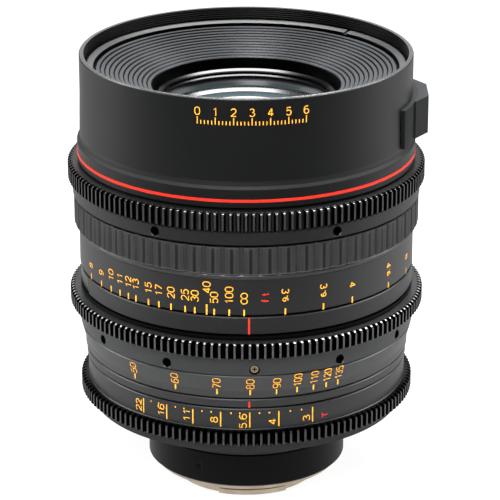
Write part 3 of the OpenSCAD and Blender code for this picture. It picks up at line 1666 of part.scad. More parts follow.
front_barrel();
red_ring();
filter_ledge_ring();
front_baffle();
front_cell();
front_element();
second_element();
front_retaining_ring();
focus_gear_ring();
focus_ring();
focus_grip();
focus_set_screws();
focus_key();
focus_cam_tube();
focus_cell();
focus_element();
focus_followers();
index_ring();
spacer_ring();
zoom_gear_ring();
zoom_scale_ring();
zoom_set_screws();
zoom_key();
zoom_key_screw();
zoom_cam_tube();
variator_cell();
variator_front_element();
variator_rear_element();
variator_followers();
compensator_cell();
compensator_element();
compensator_followers();
guide_tube();
main_housing();
iris_index_ring();
iris_ring();
iris_case();
iris_cover();
iris_drive_ring();
iris_blade(0);  // iris_blade_1
iris_blade(1);  // iris_blade_2
iris_blade(2);  // iris_blade_3
iris_blade(3);  // iris_blade_4
iris_blade(4);  // iris_blade_5
iris_blade(5);  // iris_blade_6
iris_blade(6);  // iris_blade_7
iris_blade(7);  // iris_blade_8
iris_blade(8);  // iris_blade_9
rear_cover();
rear_cell();
relay_element();
rear_element();
rear_barrel();
rear_barrel_screws();
bayonet_mount();
mount_screws();
rear_baffle();
foot_pad();
foot_block();
foot_screws();
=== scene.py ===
import math

import bmesh
import bpy
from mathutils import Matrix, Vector


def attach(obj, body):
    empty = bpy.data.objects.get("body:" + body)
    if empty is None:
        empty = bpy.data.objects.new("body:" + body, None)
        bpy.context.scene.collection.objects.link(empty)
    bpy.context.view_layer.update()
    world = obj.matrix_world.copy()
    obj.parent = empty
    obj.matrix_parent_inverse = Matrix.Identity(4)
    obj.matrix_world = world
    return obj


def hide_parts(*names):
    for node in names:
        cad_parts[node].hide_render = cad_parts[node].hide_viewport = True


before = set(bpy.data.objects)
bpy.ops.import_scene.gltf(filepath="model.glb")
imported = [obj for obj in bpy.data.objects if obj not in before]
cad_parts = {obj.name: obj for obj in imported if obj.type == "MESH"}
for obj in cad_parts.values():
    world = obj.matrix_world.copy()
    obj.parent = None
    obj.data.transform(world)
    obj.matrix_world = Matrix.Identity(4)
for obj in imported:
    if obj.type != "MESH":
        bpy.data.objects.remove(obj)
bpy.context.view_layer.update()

# Bayonet mount: a chromed brass flange with three lugs, held to the rear barrel by four screws.
# Its face is turned and lapped, so fine rings run round it, and the screws are bright steel.
MM = 0.001
WHITE = (1, 1, 1, 1)
COLD = -0.05  # anodised black has a trace of blue
LATHE = (0.03, 0.03, 4.0)  # stretches a pattern round the axis, as the marks of a lathe tool run


def shade(red, green, blue):
    """A colour as it is seen on screen, from 0 to 255, as the shader wants it."""
    def light(c):
        c = c / 255
        return c / 12.92 if c <= 0.04045 else ((c + 0.055) / 1.055) ** 2.4

    return light(red), light(green), light(blue), 1


def grey(level, warm=0.0):
    """A near-black or grey with a trace of warmth or, below 0, of cold."""
    return level * (1 + warm), level, level * (1 - warm), 1


class Wire:
    """An output of a shader node, on which sums are written as on numbers."""

    def __init__(self, finish, socket):
        self.finish = finish
        self.socket = socket

    def math(self, operation, first, second=0.0, clamp=False):
        settings = {"operation": operation, "use_clamp": clamp}
        return self.finish.node("ShaderNodeMath", settings, {0: first, 1: second})

    def larger(self, other):
        return self.math("MAXIMUM", self, other)

    def __add__(self, other):
        return self.math("ADD", self, other)

    def __radd__(self, other):
        return self.math("ADD", other, self)

    def __sub__(self, other):
        return self.math("SUBTRACT", self, other)

    def __rsub__(self, other):
        return self.math("SUBTRACT", other, self)

    def __mul__(self, other):
        return self.math("MULTIPLY", self, other)

    def __rmul__(self, other):
        return self.math("MULTIPLY", other, self)

    def __truediv__(self, other):
        return self.math("DIVIDE", self, other)

    def __neg__(self):
        return self.math("MULTIPLY", self, -1.0)

    def __abs__(self):
        return self.math("ABSOLUTE", self)

    def clamp(self):
        return self.math("ADD", self, 0.0, clamp=True)


class Finish:
    """The finish of a surface: a shader whose nodes are added one by one."""

    def __init__(self, name, **constants):
        self.material = bpy.data.materials.new(name)
        self.material.use_nodes = True
        self.tree = self.material.node_tree
        self.shader = self.tree.nodes["Principled BSDF"]
        for socket, value in constants.items():
            self.shader.inputs[socket.replace("_", " ")].default_value = value

    def node(self, kind, settings=None, inputs=None, out=0):
        node = self.tree.nodes.new(kind)
        for key, value in (settings or {}).items():
            if key == "stops":
                ramp = node.color_ramp
                while len(ramp.elements) < len(value):
                    ramp.elements.new(0.5)
                for element, (place, colour) in zip(ramp.elements, value):
                    element.position = place
                    element.color = colour
            else:
                setattr(node, key, value)
        for key, value in (inputs or {}).items():
            if isinstance(value, Wire):
                self.tree.links.new(value.socket, node.inputs[key])
            else:
                node.inputs[key].default_value = value
        if out is None:
            return [Wire(self, s) for s in node.outputs]
        return Wire(self, node.outputs[out])

    def feed(self, socket, wire):
        self.tree.links.new(wire.socket, self.shader.inputs[socket])

    def end(self, wire):
        """Leads a shader of its own to the surface, in place of the plain one."""
        self.tree.links.new(wire.socket, self.tree.nodes["Material Output"].inputs["Surface"])

    def place(self, stretch=(1, 1, 1)):
        """Object coordinates, stretched for a pattern that runs one way."""
        spot = self.node("ShaderNodeTexCoord", out="Object")
        return self.node("ShaderNodeMapping", None, {"Vector": spot, "Scale": stretch})

    def noise(self, scale, detail=3.0, stretch=(1, 1, 1), rough=0.5):
        return self.node(
            "ShaderNodeTexNoise", {"noise_dimensions": "3D"},
            {"Vector": self.place(stretch), "Scale": scale, "Detail": detail, "Roughness": rough},
        )

    def xyz(self):
        spot = self.node("ShaderNodeTexCoord", out="Object")
        return self.node("ShaderNodeSeparateXYZ", None, {"Vector": spot}, out=None)

    def radius(self):
        x, y, z = self.xyz()
        return x.math("SQRT", x * x + y * y)

    def near(self, value, target, width):
        """1 where value is at target, falling to 0 at width from it."""
        return (1 - abs(value - target) / width).clamp()

    def above(self, value, low, high):
        """0 below low, 1 above high, with a smooth step between them."""
        return self.node(
            "ShaderNodeMapRange", {"interpolation_type": "SMOOTHSTEP"},
            {"Value": value, "From Min": low, "From Max": high},
        )

    def band(self, value, low, high, rise, fall):
        """1 between low and high, with smooth steps of these two widths just inside them."""
        return self.above(value, low, low + rise) * (1 - self.above(value, high - fall, high))

    def mix(self, factor, a, b):
        return self.node("ShaderNodeMix", {"data_type": "RGBA"}, {0: factor, 6: a, 7: b}, out=2)

    def bump(self, height, depth, strength=1.0, normal=None):
        inputs = {"Height": height, "Distance": depth, "Strength": strength}
        if normal is not None:
            inputs["Normal"] = normal
        return self.node("ShaderNodeBump", None, inputs)

    def on(self, *names):
        """Puts the finish on CAD nodes, by name, or on pieces made here."""
        for name in names:
            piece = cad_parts[name] if isinstance(name, str) else name
            piece.data.materials.clear()
            piece.data.materials.append(self.material)
            for face in piece.data.polygons:
                face.material_index = 0
        return self


def turned_metal(name, colour, rough=0.3, metallic=1.0):
    """Bare or plated metal off the lathe: fine rings round the axis and a cloudy sheen."""
    finish = Finish(name, Metallic=metallic)
    cloud = finish.noise(160, 3)
    rings = finish.noise(900, 4, stretch=(0.02, 0.02, 3.0), rough=0.7)
    dark = tuple(c * 0.8 for c in colour[:3]) + (1,)
    finish.feed("Base Color", finish.mix(finish.above(cloud, 0.35, 0.7), dark, colour))
    finish.feed("Roughness", (cloud - 0.5) * 0.12 + (rings - 0.5) * 0.1 + rough)
    finish.feed("Normal", finish.bump(rings, 0.02 * MM, 0.5))
    return finish


turned_metal("chromed_brass", shade(222, 206, 184), 0.28).on("bayonet_mount")
turned_metal("bright_steel", shade(188, 184, 176), 0.2).on("mount_screws")


# Rear light baffle: a moulded cup of dull black plastic inside the spigot, pressed in from behind.
# Its fine spark-eroded texture keeps stray light down.
baffle_plastic = Finish("baffle_plastic", Specular_IOR_Level=0.3)
baffle_grain = baffle_plastic.noise(2600, 2)
baffle_plastic.feed("Base Color", baffle_plastic.mix(baffle_grain, grey(0.008), grey(0.016)))
baffle_plastic.feed("Roughness", baffle_grain * 0.15 + 0.6)
baffle_plastic.feed("Normal", baffle_plastic.bump(baffle_grain, 0.04 * MM, 0.6))
baffle_plastic.on("rear_baffle")


# Rear barrel: turned aluminium, anodised deep black, with three small cross-head screws in its side.
# The anodised skin is satin and a little cloudy, with the fine marks of the lathe tool round it.
def anodised(name, base, rough=0.42, level=0.4, painted_bands=(), teeth=None):
    """Black anodised aluminium. Each of the bands is the lowest and highest point in mm of a band of painted
    light or shade, and its tone, where 0 is painted full shade, as in a groove; teeth are a gear's measures, as
    teeth_marks() takes them."""
    finish = Finish(name, Specular_IOR_Level=level)
    cloud = finish.noise(45, 3)
    speck = finish.noise(2200, 2)
    rings = finish.noise(700, 3, stretch=LATHE, rough=0.6)
    mottle = (cloud - 0.5) * 0.35 + (speck - 0.5) * 0.3 + 0.5
    skin = finish.mix(mottle.clamp(), grey(base * 0.8, COLD), grey(base * 1.2, COLD))
    satin = (cloud - 0.5) * 0.1 + (speck - 0.5) * 0.12 + rough
    shaded = None
    # Each band lays painted light or shade over the skin; a band of tone 0 is painted shade in near-black metal
    for low, high, tone in painted_bands:
        band = finish.band(finish.xyz()[2], low * MM, high * MM, 0.15 * MM, 0.15 * MM)
        skin = finish.mix(band, skin, grey(tone, COLD))
        if tone == 0:
            shaded = band
    if teeth:
        skin, polished, shaded = teeth_marks(finish, skin, base, **teeth)
        satin = satin + polished * (0.5 - rough)
    if shaded is not None:
        finish.feed("Metallic", shaded)
    finish.feed("Base Color", skin)
    finish.feed("Roughness", satin)
    finish.feed("Normal", finish.bump(rings * 0.5 + speck * 0.5, 0.015 * MM, 0.5))
    return finish


def teeth_marks(finish, skin, base, low, high, root, tip, count, shine, phase=0.0, crown=None, seat=None):
    """How cut teeth take the light, from low to high and from root to tip radius, all in mm: the flanks are
    painted in shade, nearly black, and each of the count teeth, the first turned by phase of its pitch, has its
    land outside painted dark but for a painted highlight along its middle, and bevelled ends polished to shine.
    crown is where the teeth end, if a groove lies above them, and the painted shade of the flanks runs on up into
    that groove; below the radius seat the screw holes under the teeth are painted in shade. Near-black metal
    stands for shade, as it throws back next to nothing."""
    low, high, root, tip = low * MM, high * MM, root * MM, tip * MM
    top = crown * MM if crown else high
    x, y, height = finish.xyz()
    reach = finish.radius()
    turn = x.math("ARCTAN2", x, -y) * (count / math.tau) + phase
    middle = 1 - finish.above(abs(turn.math("FRACT", turn + 0.5) - 0.5), 0.1, 0.17)

    ends = finish.band(height, top - 0.45 * MM, top, 0.1 * MM, 0.06 * MM)
    ends = ends.larger(finish.band(height, low, low + 0.5 * MM, 0.1 * MM, 0.1 * MM))
    polished = ends * finish.above(reach, root + 0.8 * MM, root + 1.1 * MM) * middle
    flank = finish.band(height, low, high, 0.3 * MM, 0.1 * MM) * finish.band(reach, root, tip, 0.3 * MM, 0.2 * MM)
    land = finish.above(height, low, low + 0.3 * MM) * finish.above(reach, tip - 0.3 * MM, tip - 0.1 * MM)
    lit_tip = land * middle * (1 - finish.above(height, top, top + 0.1 * MM))

    # Painted light and shade on the teeth: the land painted dark, a painted highlight along its middle, and
    # painted shade on the flanks and in any groove above them
    skin = finish.mix(land, skin, grey(0.003))
    skin = finish.mix(lit_tip, skin, grey(base * 1.7 + 0.01))
    skin = finish.mix(flank, skin, grey(0.0015))
    skin = finish.mix(polished, skin, grey(shine))
    shaded = flank.larger(polished)
    if seat:
        # Painted shade in the screw holes below the seat
        hole = 1 - finish.above(reach, (seat - 0.1) * MM, seat * MM)
        hole = hole * (1 - finish.above(height, low - 0.2 * MM, low))
        skin = finish.mix(hole, skin, grey(0.002))
        shaded = shaded.larger(hole)
    return skin, polished, shaded


anodised("rear_barrel_black", 0.0012, 0.4, 0.15).on("rear_barrel")
turned_metal("rear_screw_steel", grey(0.03), 0.4).on("rear_barrel_screws")


# Rear cover: the cone that closes the back of the barrel and carries the iris unit.
# Turned aluminium, anodised black; its rim shows under the iris gear.
# A band at its foot, where it meets the rear barrel, is painted shade
anodised("rear_cover_black", 0.012, 0.45, 0.45, painted_bands=((13.9, 14.75, 0),)).on("rear_cover")


# Iris unit and relay cell: brass drive ring, blackened steel blades, and machined black parts inside.
# None of it shows from outside; the blades are seen only through the glass.
turned_metal("brass", shade(181, 142, 74), 0.28).on(
    "iris_drive_ring", "focus_followers", "variator_followers", "compensator_followers",
    "focus_key", "zoom_key",
)
blade_steel = turned_metal("blade_steel", grey(0.03), 0.38, 0.7)
for number in range(1, 10):
    blade_steel.on("iris_blade_%d" % number)
anodised("inner_black", 0.012, 0.5, 0.35).on(
    "iris_case", "iris_cover", "rear_cell", "variator_cell", "compensator_cell", "focus_cell",
)


# Iris ring: its upper half carries the scale and its lower half is a gear for a remote drive.
# Machined in one piece and anodised satin black; the numbers are filled with orange paint.
anodised(
    "iris_ring_black", 0.0075, 0.4, 0.85,
    teeth=dict(low=27.9, high=33.5, root=55.9, tip=58.4, count=144, shine=0.05, crown=32.7),
).on("iris_ring")

PAINT = 0.03  # how far the filled-in figures stand proud, in mm
PEN = 0.36  # width of the engraver's cutter, in mm
GAP = 0.2  # between two figures, at a height of 1
FLATTEN = 0.15  # the round strokes are pressed flat to this share of their thickness


def deselect():
    bpy.ops.object.select_all(action="DESELECT")


def wrap(mesh, angle, height, radius, run="up"):
    """Lays a flat mesh onto a ring: its x runs up or down it from the given height, or level round it."""
    for v in mesh.vertices:
        u, w = v.co.x, v.co.y
        if run == "up":
            a, z = math.radians(angle) - w / radius, height + u
        elif run == "down":
            a, z = math.radians(angle) + w / radius, height - u
        else:
            a, z = math.radians(angle) + (height + u) / radius, w
        r = radius + v.co.z
        v.co = Vector((r * math.sin(a), -r * math.cos(a), z)) * MM
    mesh.update()


def stroke(length, width, angle, height, radius):
    """One painted line, length mm up its ring and width mm round it, starting at the given height."""
    deselect()
    bpy.ops.mesh.primitive_plane_add(size=1)
    piece = bpy.context.object
    bpy.ops.object.mode_set(mode="EDIT")
    bpy.ops.transform.resize(value=(length, width, 1))
    bpy.ops.transform.translate(value=(length / 2, 0, 0))
    bpy.ops.mesh.subdivide(number_cuts=2)
    bpy.ops.object.mode_set(mode="OBJECT")
    wrap(piece.data, angle, height, radius + PAINT)
    return piece


def arc(x, y, wide, high, start, end):
    """Points along an ellipse round (x, y), from the start to the end angle in degrees."""
    steps = max(4, int(abs(end - start) / 24))
    turns = [math.radians(start + (end - start) * step / steps) for step in range(steps + 1)]
    return [(x + wide * math.cos(turn), y + high * math.sin(turn)) for turn in turns]


# Figures as an engraver's cutter draws them: width, then the strokes, at a height of 1
SIX = [[(0.54, 0.95)] + arc(0.35, 0.62, 0.34, 0.38, 75, 180) + arc(0.32, 0.31, 0.31, 0.31, 180, 540)]
FIGURES = {
    "0": (0.64, [
        arc(0.32, 0.68, 0.32, 0.32, 0, 180) + arc(0.32, 0.32, 0.32, 0.32, 180, 360) + [(0.64, 0.68)],
    ]),
    "1": (0.64, [[(0.14, 0.76), (0.4, 1), (0.4, 0)]]),
    "2": (0.64, [arc(0.32, 0.7, 0.31, 0.3, 165, -35) + [(0, 0)], [(0, 0), (0.64, 0)]]),
    "3": (0.64, [arc(0.31, 0.76, 0.27, 0.24, 155, -90), arc(0.31, 0.27, 0.33, 0.27, 90, -155)]),
    "4": (0.64, [[(0.46, 0), (0.46, 1)], [(0.46, 1), (0, 0.27)], [(0, 0.27), (0.66, 0.27)]]),
    "5": (0.64, [[(0.58, 1), (0.1, 1), (0.05, 0.52)] + arc(0.31, 0.33, 0.33, 0.33, 130, -150)]),
    "6": (0.64, SIX),
    "7": (0.64, [[(0, 1), (0.62, 1)], [(0.62, 1), (0.22, 0)]]),
    "8": (0.64, [arc(0.32, 0.77, 0.26, 0.23, -90, 270), arc(0.32, 0.27, 0.32, 0.27, 90, 450)]),
    "9": (0.64, [[(0.64 - x, 1 - y) for x, y in SIX[0]]]),
    "∞": (1.4, [arc(0.35, 0.5, 0.35, 0.42, 0, 360), arc(1.05, 0.5, 0.35, 0.42, 180, 540)]),
    "'": (0.16, [[(0.1, 1), (0.06, 0.74)]]),
    ".": (0.16, [[(0.08, 0), (0.08, 0.08)]]),
    "f": (0.5, [arc(0.42, 0.78, 0.2, 0.22, 70, 180) + [(0.22, 0)], [(0, 0.6), (0.48, 0.6)]]),
    "t": (0.5, [[(0.22, 0.95)] + arc(0.42, 0.2, 0.2, 0.2, 180, 290), [(0, 0.62), (0.48, 0.62)]]),
    "T": (0.64, [[(0, 1), (0.64, 1)], [(0.32, 1), (0.32, 0)]]),
}


def word(text, angle, low, high, tall, radius, run="up"):
    """Engraved figures that fill low to high along their run, tall mm across it and centred on the angle."""
    line = bpy.data.curves.new("figures", "CURVE")
    line.dimensions = "3D"
    line.bevel_depth = PEN / 2
    line.bevel_resolution = 1
    line.use_fill_caps = True
    whole = sum(FIGURES[mark][0] for mark in text) + GAP * (len(text) - 1)
    stretch = (abs(high - low) - PEN) / whole
    across = PEN / 2
    for mark in text:
        wide, strokes = FIGURES[mark]
        for points in strokes:
            path = line.splines.new("POLY")
            path.points.add(len(points) - 1)
            for point, (x, y) in zip(path.points, points):
                point.co = (across + x * stretch, (y - 0.5) * (tall - PEN), 0, 1)
        across += (wide + GAP) * stretch
    piece = bpy.data.objects.new("figures", line)
    bpy.context.scene.collection.objects.link(piece)
    deselect()
    piece.select_set(True)
    bpy.context.view_layer.objects.active = piece
    bpy.ops.object.convert(target="MESH")
    piece = bpy.context.object
    for v in piece.data.vertices:
        v.co.z *= FLATTEN
    wrap(piece.data, angle, high if run == "down" else low, radius + PAINT, run)
    return piece


def painted(pieces, name, finish, body):
    """Joins painted marks into one piece, dresses it and lets it ride on its ring."""
    deselect()
    for piece in pieces:
        piece.select_set(True)
    bpy.context.view_layer.objects.active = pieces[0]
    bpy.ops.object.join()
    piece = bpy.context.object
    piece.name = name
    piece.data.name = name
    finish.on(piece)
    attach(piece, body)
    return piece


def paint(name, colour, level):
    """Filled-in enamel: a little uneven and slightly worn, so that the black shows faintly through."""
    finish = Finish(name, Specular_IOR_Level=level)
    patch = finish.noise(1300, 3)
    thin = tuple(c * 0.72 for c in colour[:3]) + (1,)
    finish.feed("Base Color", finish.mix(finish.above(patch, 0.3, 0.6), thin, colour))
    finish.feed("Roughness", patch * 0.2 + 0.45)
    finish.feed("Normal", finish.bump(patch, 0.02 * MM, 0.4))
    return finish


orange_paint = paint("orange_paint", shade(255, 178, 40), 0.3)
red_paint = paint("red_paint", shade(232, 50, 32), 0.1)

IRIS_R = 55.8
IRIS_LINE = 0.42
iris_marks = []
# The figures stand on end beside their lines, and their feet aren't level
for text, angle, low, top in (
    ("22", -38.65, 34.2, 38.7), ("16", -28.75, 34.7, 39.2), ("11", -18.76, 34.6, 39.1),
    ("8", -8.83, 35.2, 37.5), ("5.6", 1.24, 33.5, 39.0), ("4", 11.35, 34.7, 36.9), ("3", 23.66, 34.6, 36.9),
):
    iris_marks.append(stroke(5.4, IRIS_LINE, angle, 34.0, IRIS_R))
    iris_marks.append(word(text, angle - 2.3, low, top, 2.7, IRIS_R))
for angle in (
    -35.28, -32.04, -25.37, -22.08, -15.37, -12.12, -5.28, -2.17, 4.62, 8.05, 15.44, 19.51,
):
    iris_marks.append(stroke(0.55, IRIS_LINE, angle, 38.85, IRIS_R))
painted(iris_marks, "iris_scale_marks", orange_paint, "iris_ring")
painted([word("T", 28.48, 34.6, 36.7, 2.4, IRIS_R)], "iris_unit_mark", red_paint, "iris_ring")


# Narrow fixed ring between iris and zoom: it carries the red line that both scales are read against.
# Anodised a little greyer than the rings that turn.
anodised("iris_index_black", 0.011, 0.4, 0.85).on("iris_index_ring")
painted([stroke(2.2, 0.6, 1.06, 41.3, 56.2)], "iris_index_mark", red_paint, "barrel")


# Zoom ring: a conical scale ring with the gear ring screwed on round its sleeve.
# Eight black socket screws and one brass cross-head screw hold the two together and to the key.
anodised("zoom_scale_black", 0.018, 0.38, 1.0).on("zoom_scale_ring")
anodised(
    "zoom_gear_black", 0.021, 0.4, 0.7,
    teeth=dict(low=60.4, high=66.0, root=58.6, tip=61.6, count=152, shine=0.7, phase=0.5, seat=58.1),
).on("zoom_gear_ring")
# The set screws and foot screws are near-black metal: their own black oxide, deepened into painted shade of the
# holes they sit in
turned_metal("blackened_shaded_screws", grey(0.0025), 0.5).on("zoom_set_screws", "focus_set_screws", "foot_screws")
brass_head = Finish("key_screw_brass", Metallic=1.0, Roughness=0.32)
head_grain = brass_head.noise(900, 3)
head_brass = brass_head.mix(head_grain, shade(214, 190, 152), shade(232, 210, 176))
# Below its face the head is painted in shade, in the cross recess and round its sides
recess_shade = 1 - brass_head.above(brass_head.radius(), 57.2 * MM, 57.5 * MM)
brass_head.feed("Base Color", brass_head.mix(recess_shade, head_brass, grey(0.003)))
brass_head.on("zoom_key_screw")

CONE_LOW, CONE_HIGH = 47.5, 53.0
CONE_R, CONE_GROWTH = 56.6, 1.4


def cone_radius(z):
    """Radius of the zoom scale at this height, in mm: it widens upwards."""
    share = min(max((z - CONE_LOW) / (CONE_HIGH - CONE_LOW), 0), 1)
    return CONE_R + CONE_GROWTH * share


# Each mark is laid round the ring first, and then leans back with the cone
zoom_marks = []
for text, angle in (
    ("50", -41.68), ("60", -24.77), ("70", -9.9), ("80", 1.39), ("90", 10.35),
    ("100", 17.53), ("110", 23.49), ("120", 28.36), ("135", 33.0),
):
    zoom_marks.append(stroke(1.9, 0.5, angle, 46.1, CONE_R))
    zoom_marks.append(word(text, angle, 48.3, 52.4 if len(text) == 2 else 53.4, 3.0, 57.4))
for piece in zoom_marks:
    for v in piece.data.vertices:
        grow = (cone_radius(v.co.z / MM) + 0.04) * MM / math.hypot(v.co.x, v.co.y)
        v.co.x *= grow
        v.co.y *= grow
painted(zoom_marks, "zoom_scale_marks", orange_paint, "zoom_ring")


# Fixed rings above the zoom gear: a thin spacer and the ring with the red focus line.
# At the left a shallow pocket in that ring holds a plate, which is left bare here.
anodised("spacer_black", 0.002, 0.42, 0.08).on("spacer_ring")
anodised("index_ring_black", 0.0045, 0.42, 0.75).on("index_ring")
INDEX_RING_R = 58.0
painted([stroke(5.8, 0.62, 0.98, 68.6, INDEX_RING_R)], "focus_index_mark", red_paint, "barrel")

PLATE_R, PLATE_Z = 57.48 * MM, 71.45 * MM
PLATE_THICK, PLATE_HIGH, PLATE_SPAN = 0.5 * MM, 5.3 * MM, math.radians(41.2)
deselect()
bpy.ops.mesh.primitive_plane_add(size=1)
plate = bpy.context.object
plate.name = "side_plate"
bpy.ops.object.mode_set(mode="EDIT")
bpy.ops.transform.resize(value=(PLATE_THICK, PLATE_HIGH, 1))
bpy.ops.transform.rotate(value=math.radians(90), orient_axis="X", center_override=(0, 0, 0))
bpy.ops.transform.translate(value=(-PLATE_R, 0, PLATE_Z))
bpy.ops.transform.rotate(value=PLATE_SPAN / 2, orient_axis="Z", center_override=(0, 0, 0))
bpy.ops.mesh.spin(steps=40, angle=-PLATE_SPAN, center=(0, 0, 0), axis=(0, 0, 1))
bpy.ops.mesh.select_all(action="SELECT")
bpy.ops.mesh.remove_doubles(threshold=0.001 * MM)
bpy.ops.mesh.normals_make_consistent(inside=False)
bpy.ops.object.mode_set(mode="OBJECT")
bevel = plate.modifiers.new("edge", "BEVEL")
bevel.width = 0.12 * MM
bevel.segments = 2
bevel.limit_method = "ANGLE"
bevel.angle_limit = math.radians(50)
bpy.ops.object.modifier_apply(modifier="edge")
bpy.ops.object.shade_smooth_by_angle(angle=math.radians(35))
anodised("plate_black", 0.012, 0.3, 0.5).on(plate)
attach(plate, "barrel")


# Focus ring: turned aluminium with the distance scale, a bead, a rubber grip and the gear ring on top.
# The scale runs on round the far side, so the right half shows the figures of the second index.
# The band round the bead is a painted highlight, lighter than the rest of the ring
anodised("focus_ring_black", 0.0045, 0.4, 0.9, painted_bands=((87.9, 89.5, 0.018),)).on("focus_ring")
anodised(
    "focus_gear_black", 0.0075, 0.4, 0.55,
    teeth=dict(low=105.0, high=112.0, root=60.1, tip=61.6, count=152, shine=1.0, seat=59.9),
).on("focus_gear_ring")

FOCUS_R = 58.0
FOCUS_LINE = 0.55
LINE_LOW, FIGURE_LOW = 75.1, 79.2
FIGURE_TOP = {"8": 81.1, "9": 81.1, "100": 85.4, "∞": 83.4}
focus_marks = []
for text, angle in (
    ("8", -65.76), ("9", -57.73), ("10", -51.7), ("11", -46.9), ("12", -42.85), ("13", -39.44),
    ("15", -34.1), ("17", -29.99), ("20", -25.43), ("25", -20.37), ("30", -17.0), ("50", -10.46),
    ("100", -5.51), ("∞", -0.62),
):
    focus_marks.append(stroke(2.2, FOCUS_LINE, angle, LINE_LOW, FOCUS_R))
    focus_marks.append(word(text, angle, FIGURE_LOW, FIGURE_TOP.get(text, 83.3), 2.9, FOCUS_R))
# The 40 stands above its crowded neighbours, on a longer line
focus_marks.append(stroke(3.6, FOCUS_LINE, -12.96, LINE_LOW, FOCUS_R))
focus_marks.append(word("40", -12.96, 82.7, 86.8, 2.9, FOCUS_R))
for text, small, angle in (
    ("3", "'6", 12.93), ("3", "'9", 26.28), ("4", "", 37.7), ("4", "'6", 56.07), ("5", "", 70.85),
):
    focus_marks.append(stroke(2.2, FOCUS_LINE, angle, LINE_LOW, FOCUS_R))
    if small:
        focus_marks.append(word(text, angle, 82.4, 84.3, 2.7, FOCUS_R, "down"))
        focus_marks.append(word(small, angle, 79.6, 81.9, 2.1, FOCUS_R, "down"))
    else:
        focus_marks.append(word(text, angle, 80.6, 82.6, 2.7, FOCUS_R, "down"))
painted(focus_marks, "focus_scale_marks", orange_paint, "focus_ring")
painted([
    word("f", 6.27, 79.7, 80.9, 2.6, FOCUS_R), word("t", 6.27, 82.0, 83.2, 2.4, FOCUS_R),
], "focus_unit_mark", red_paint, "focus_ring")


# Rubber grip: a moulded sleeve of sixty wide flat ribs, stretched into its seat on the focus ring.
# The ribs' edges are rounded by the mould and the rubber is matt, with a bloom of dust; its valleys carry painted
# shade, and the rib edges and the lower hem painted highlights.
RIBS, GRIP_R, GRIP_LOW, GRIP_HIGH = 60, 59.7 * MM, 89.84 * MM, 99.6 * MM
RIB_TURN = 360 / RIBS
VALLEY_TURN = 4.5
VALLEY_HALF = 0.75
deselect()
bpy.ops.mesh.primitive_cylinder_add(
    vertices=RIBS * 24, radius=GRIP_R, depth=GRIP_HIGH - GRIP_LOW, end_fill_type="NOTHING",
    location=(0, 0, (GRIP_LOW + GRIP_HIGH) / 2),
)
grip = bpy.context.object
grip.name = "rubber_grip"
bpy.ops.object.transform_apply(location=True)
bpy.ops.object.mode_set(mode="EDIT")
for cut in (90.15, 90.45, 98.99, 99.29):
    bpy.ops.mesh.select_all(action="SELECT")
    bpy.ops.mesh.bisect(plane_co=(0, 0, cut * MM), plane_no=(0, 0, 1))
form = bmesh.from_edit_mesh(grip.data)
for v in form.verts:
    turn = math.degrees(math.atan2(v.co.x, -v.co.y)) - VALLEY_TURN
    across = abs((turn + RIB_TURN / 2) % RIB_TURN - RIB_TURN / 2) / VALLEY_HALF
    sunk = 0.62 * max(0.0, 1 - across ** 2) + (0.08 if 0.9 < across < 1.4 else 0)
    end = min(v.co.z - GRIP_LOW, GRIP_HIGH - v.co.z) / MM
    sunk += 0.45 if end < 0.1 else 0.12 if end < 0.4 else 0
    flat = math.hypot(v.co.x, v.co.y)
    v.co.x *= (flat - sunk * MM) / flat
    v.co.y *= (flat - sunk * MM) / flat
bmesh.update_edit_mesh(grip.data)
bpy.ops.mesh.select_all(action="SELECT")
bpy.ops.mesh.normals_make_consistent(inside=False)
bpy.ops.object.mode_set(mode="OBJECT")
wall = grip.modifiers.new("wall", "SOLIDIFY")
wall.thickness = 1.1 * MM
wall.offset = -1
bpy.ops.object.modifier_apply(modifier="wall")
bpy.ops.object.shade_smooth_by_angle(angle=math.radians(40))

rubber = Finish("grip_rubber", Specular_IOR_Level=0.3)
grain = rubber.noise(3200, 2)
bloom = rubber.noise(70, 4)
dust = rubber.above(rubber.noise(420, 5), 0.58, 0.72)
x, y, z = rubber.xyz()
turn = x.math("ARCTAN2", x, -y) * (RIBS / math.tau) + 0.25
across = abs(turn.math("FRACT", turn) - 0.5)
ribbed_part = rubber.band(z, 90.3 * MM, 99.3 * MM, 0.3 * MM, 0.3 * MM)
# Painted shade in the valleys between the ribs; painted highlights on the rib edges and along the lower hem
valley_shade = rubber.near(across, 0.0, 0.11) * ribbed_part
rib_edge_highlight = rubber.near(across, 0.135, 0.045) * ribbed_part
hem_highlight = rubber.near(z, 90.15 * MM, 0.4 * MM)
skin = rubber.mix(bloom, grey(0.016), grey(0.022))
skin = rubber.mix(dust * 0.2, skin, grey(0.05))
skin = rubber.mix((rib_edge_highlight * 0.2 + hem_highlight * 0.8).clamp(), skin, grey(0.07))
rubber.feed("Base Color", rubber.mix((valley_shade * 3).clamp(), skin, grey(0.005)))
rubber.feed("Roughness", grain * 0.15 + 0.52)
rubber.feed("Normal", rubber.bump(grain, 0.03 * MM, 0.5))
rubber.on(grip, "focus_grip")
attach(grip, "focus_ring")
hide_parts("focus_grip")


# Tubes of the mechanism: guide tube, cam tubes and main housing, all turned and honed aluminium.
# They slide and turn inside one another, so their finish is bare or thinly anodised.
turned_metal("tube_aluminium", grey(0.5), 0.34).on("guide_tube", "focus_cam_tube", "zoom_cam_tube")
turned_metal("housing_aluminium", grey(0.36), 0.38).on("main_housing")


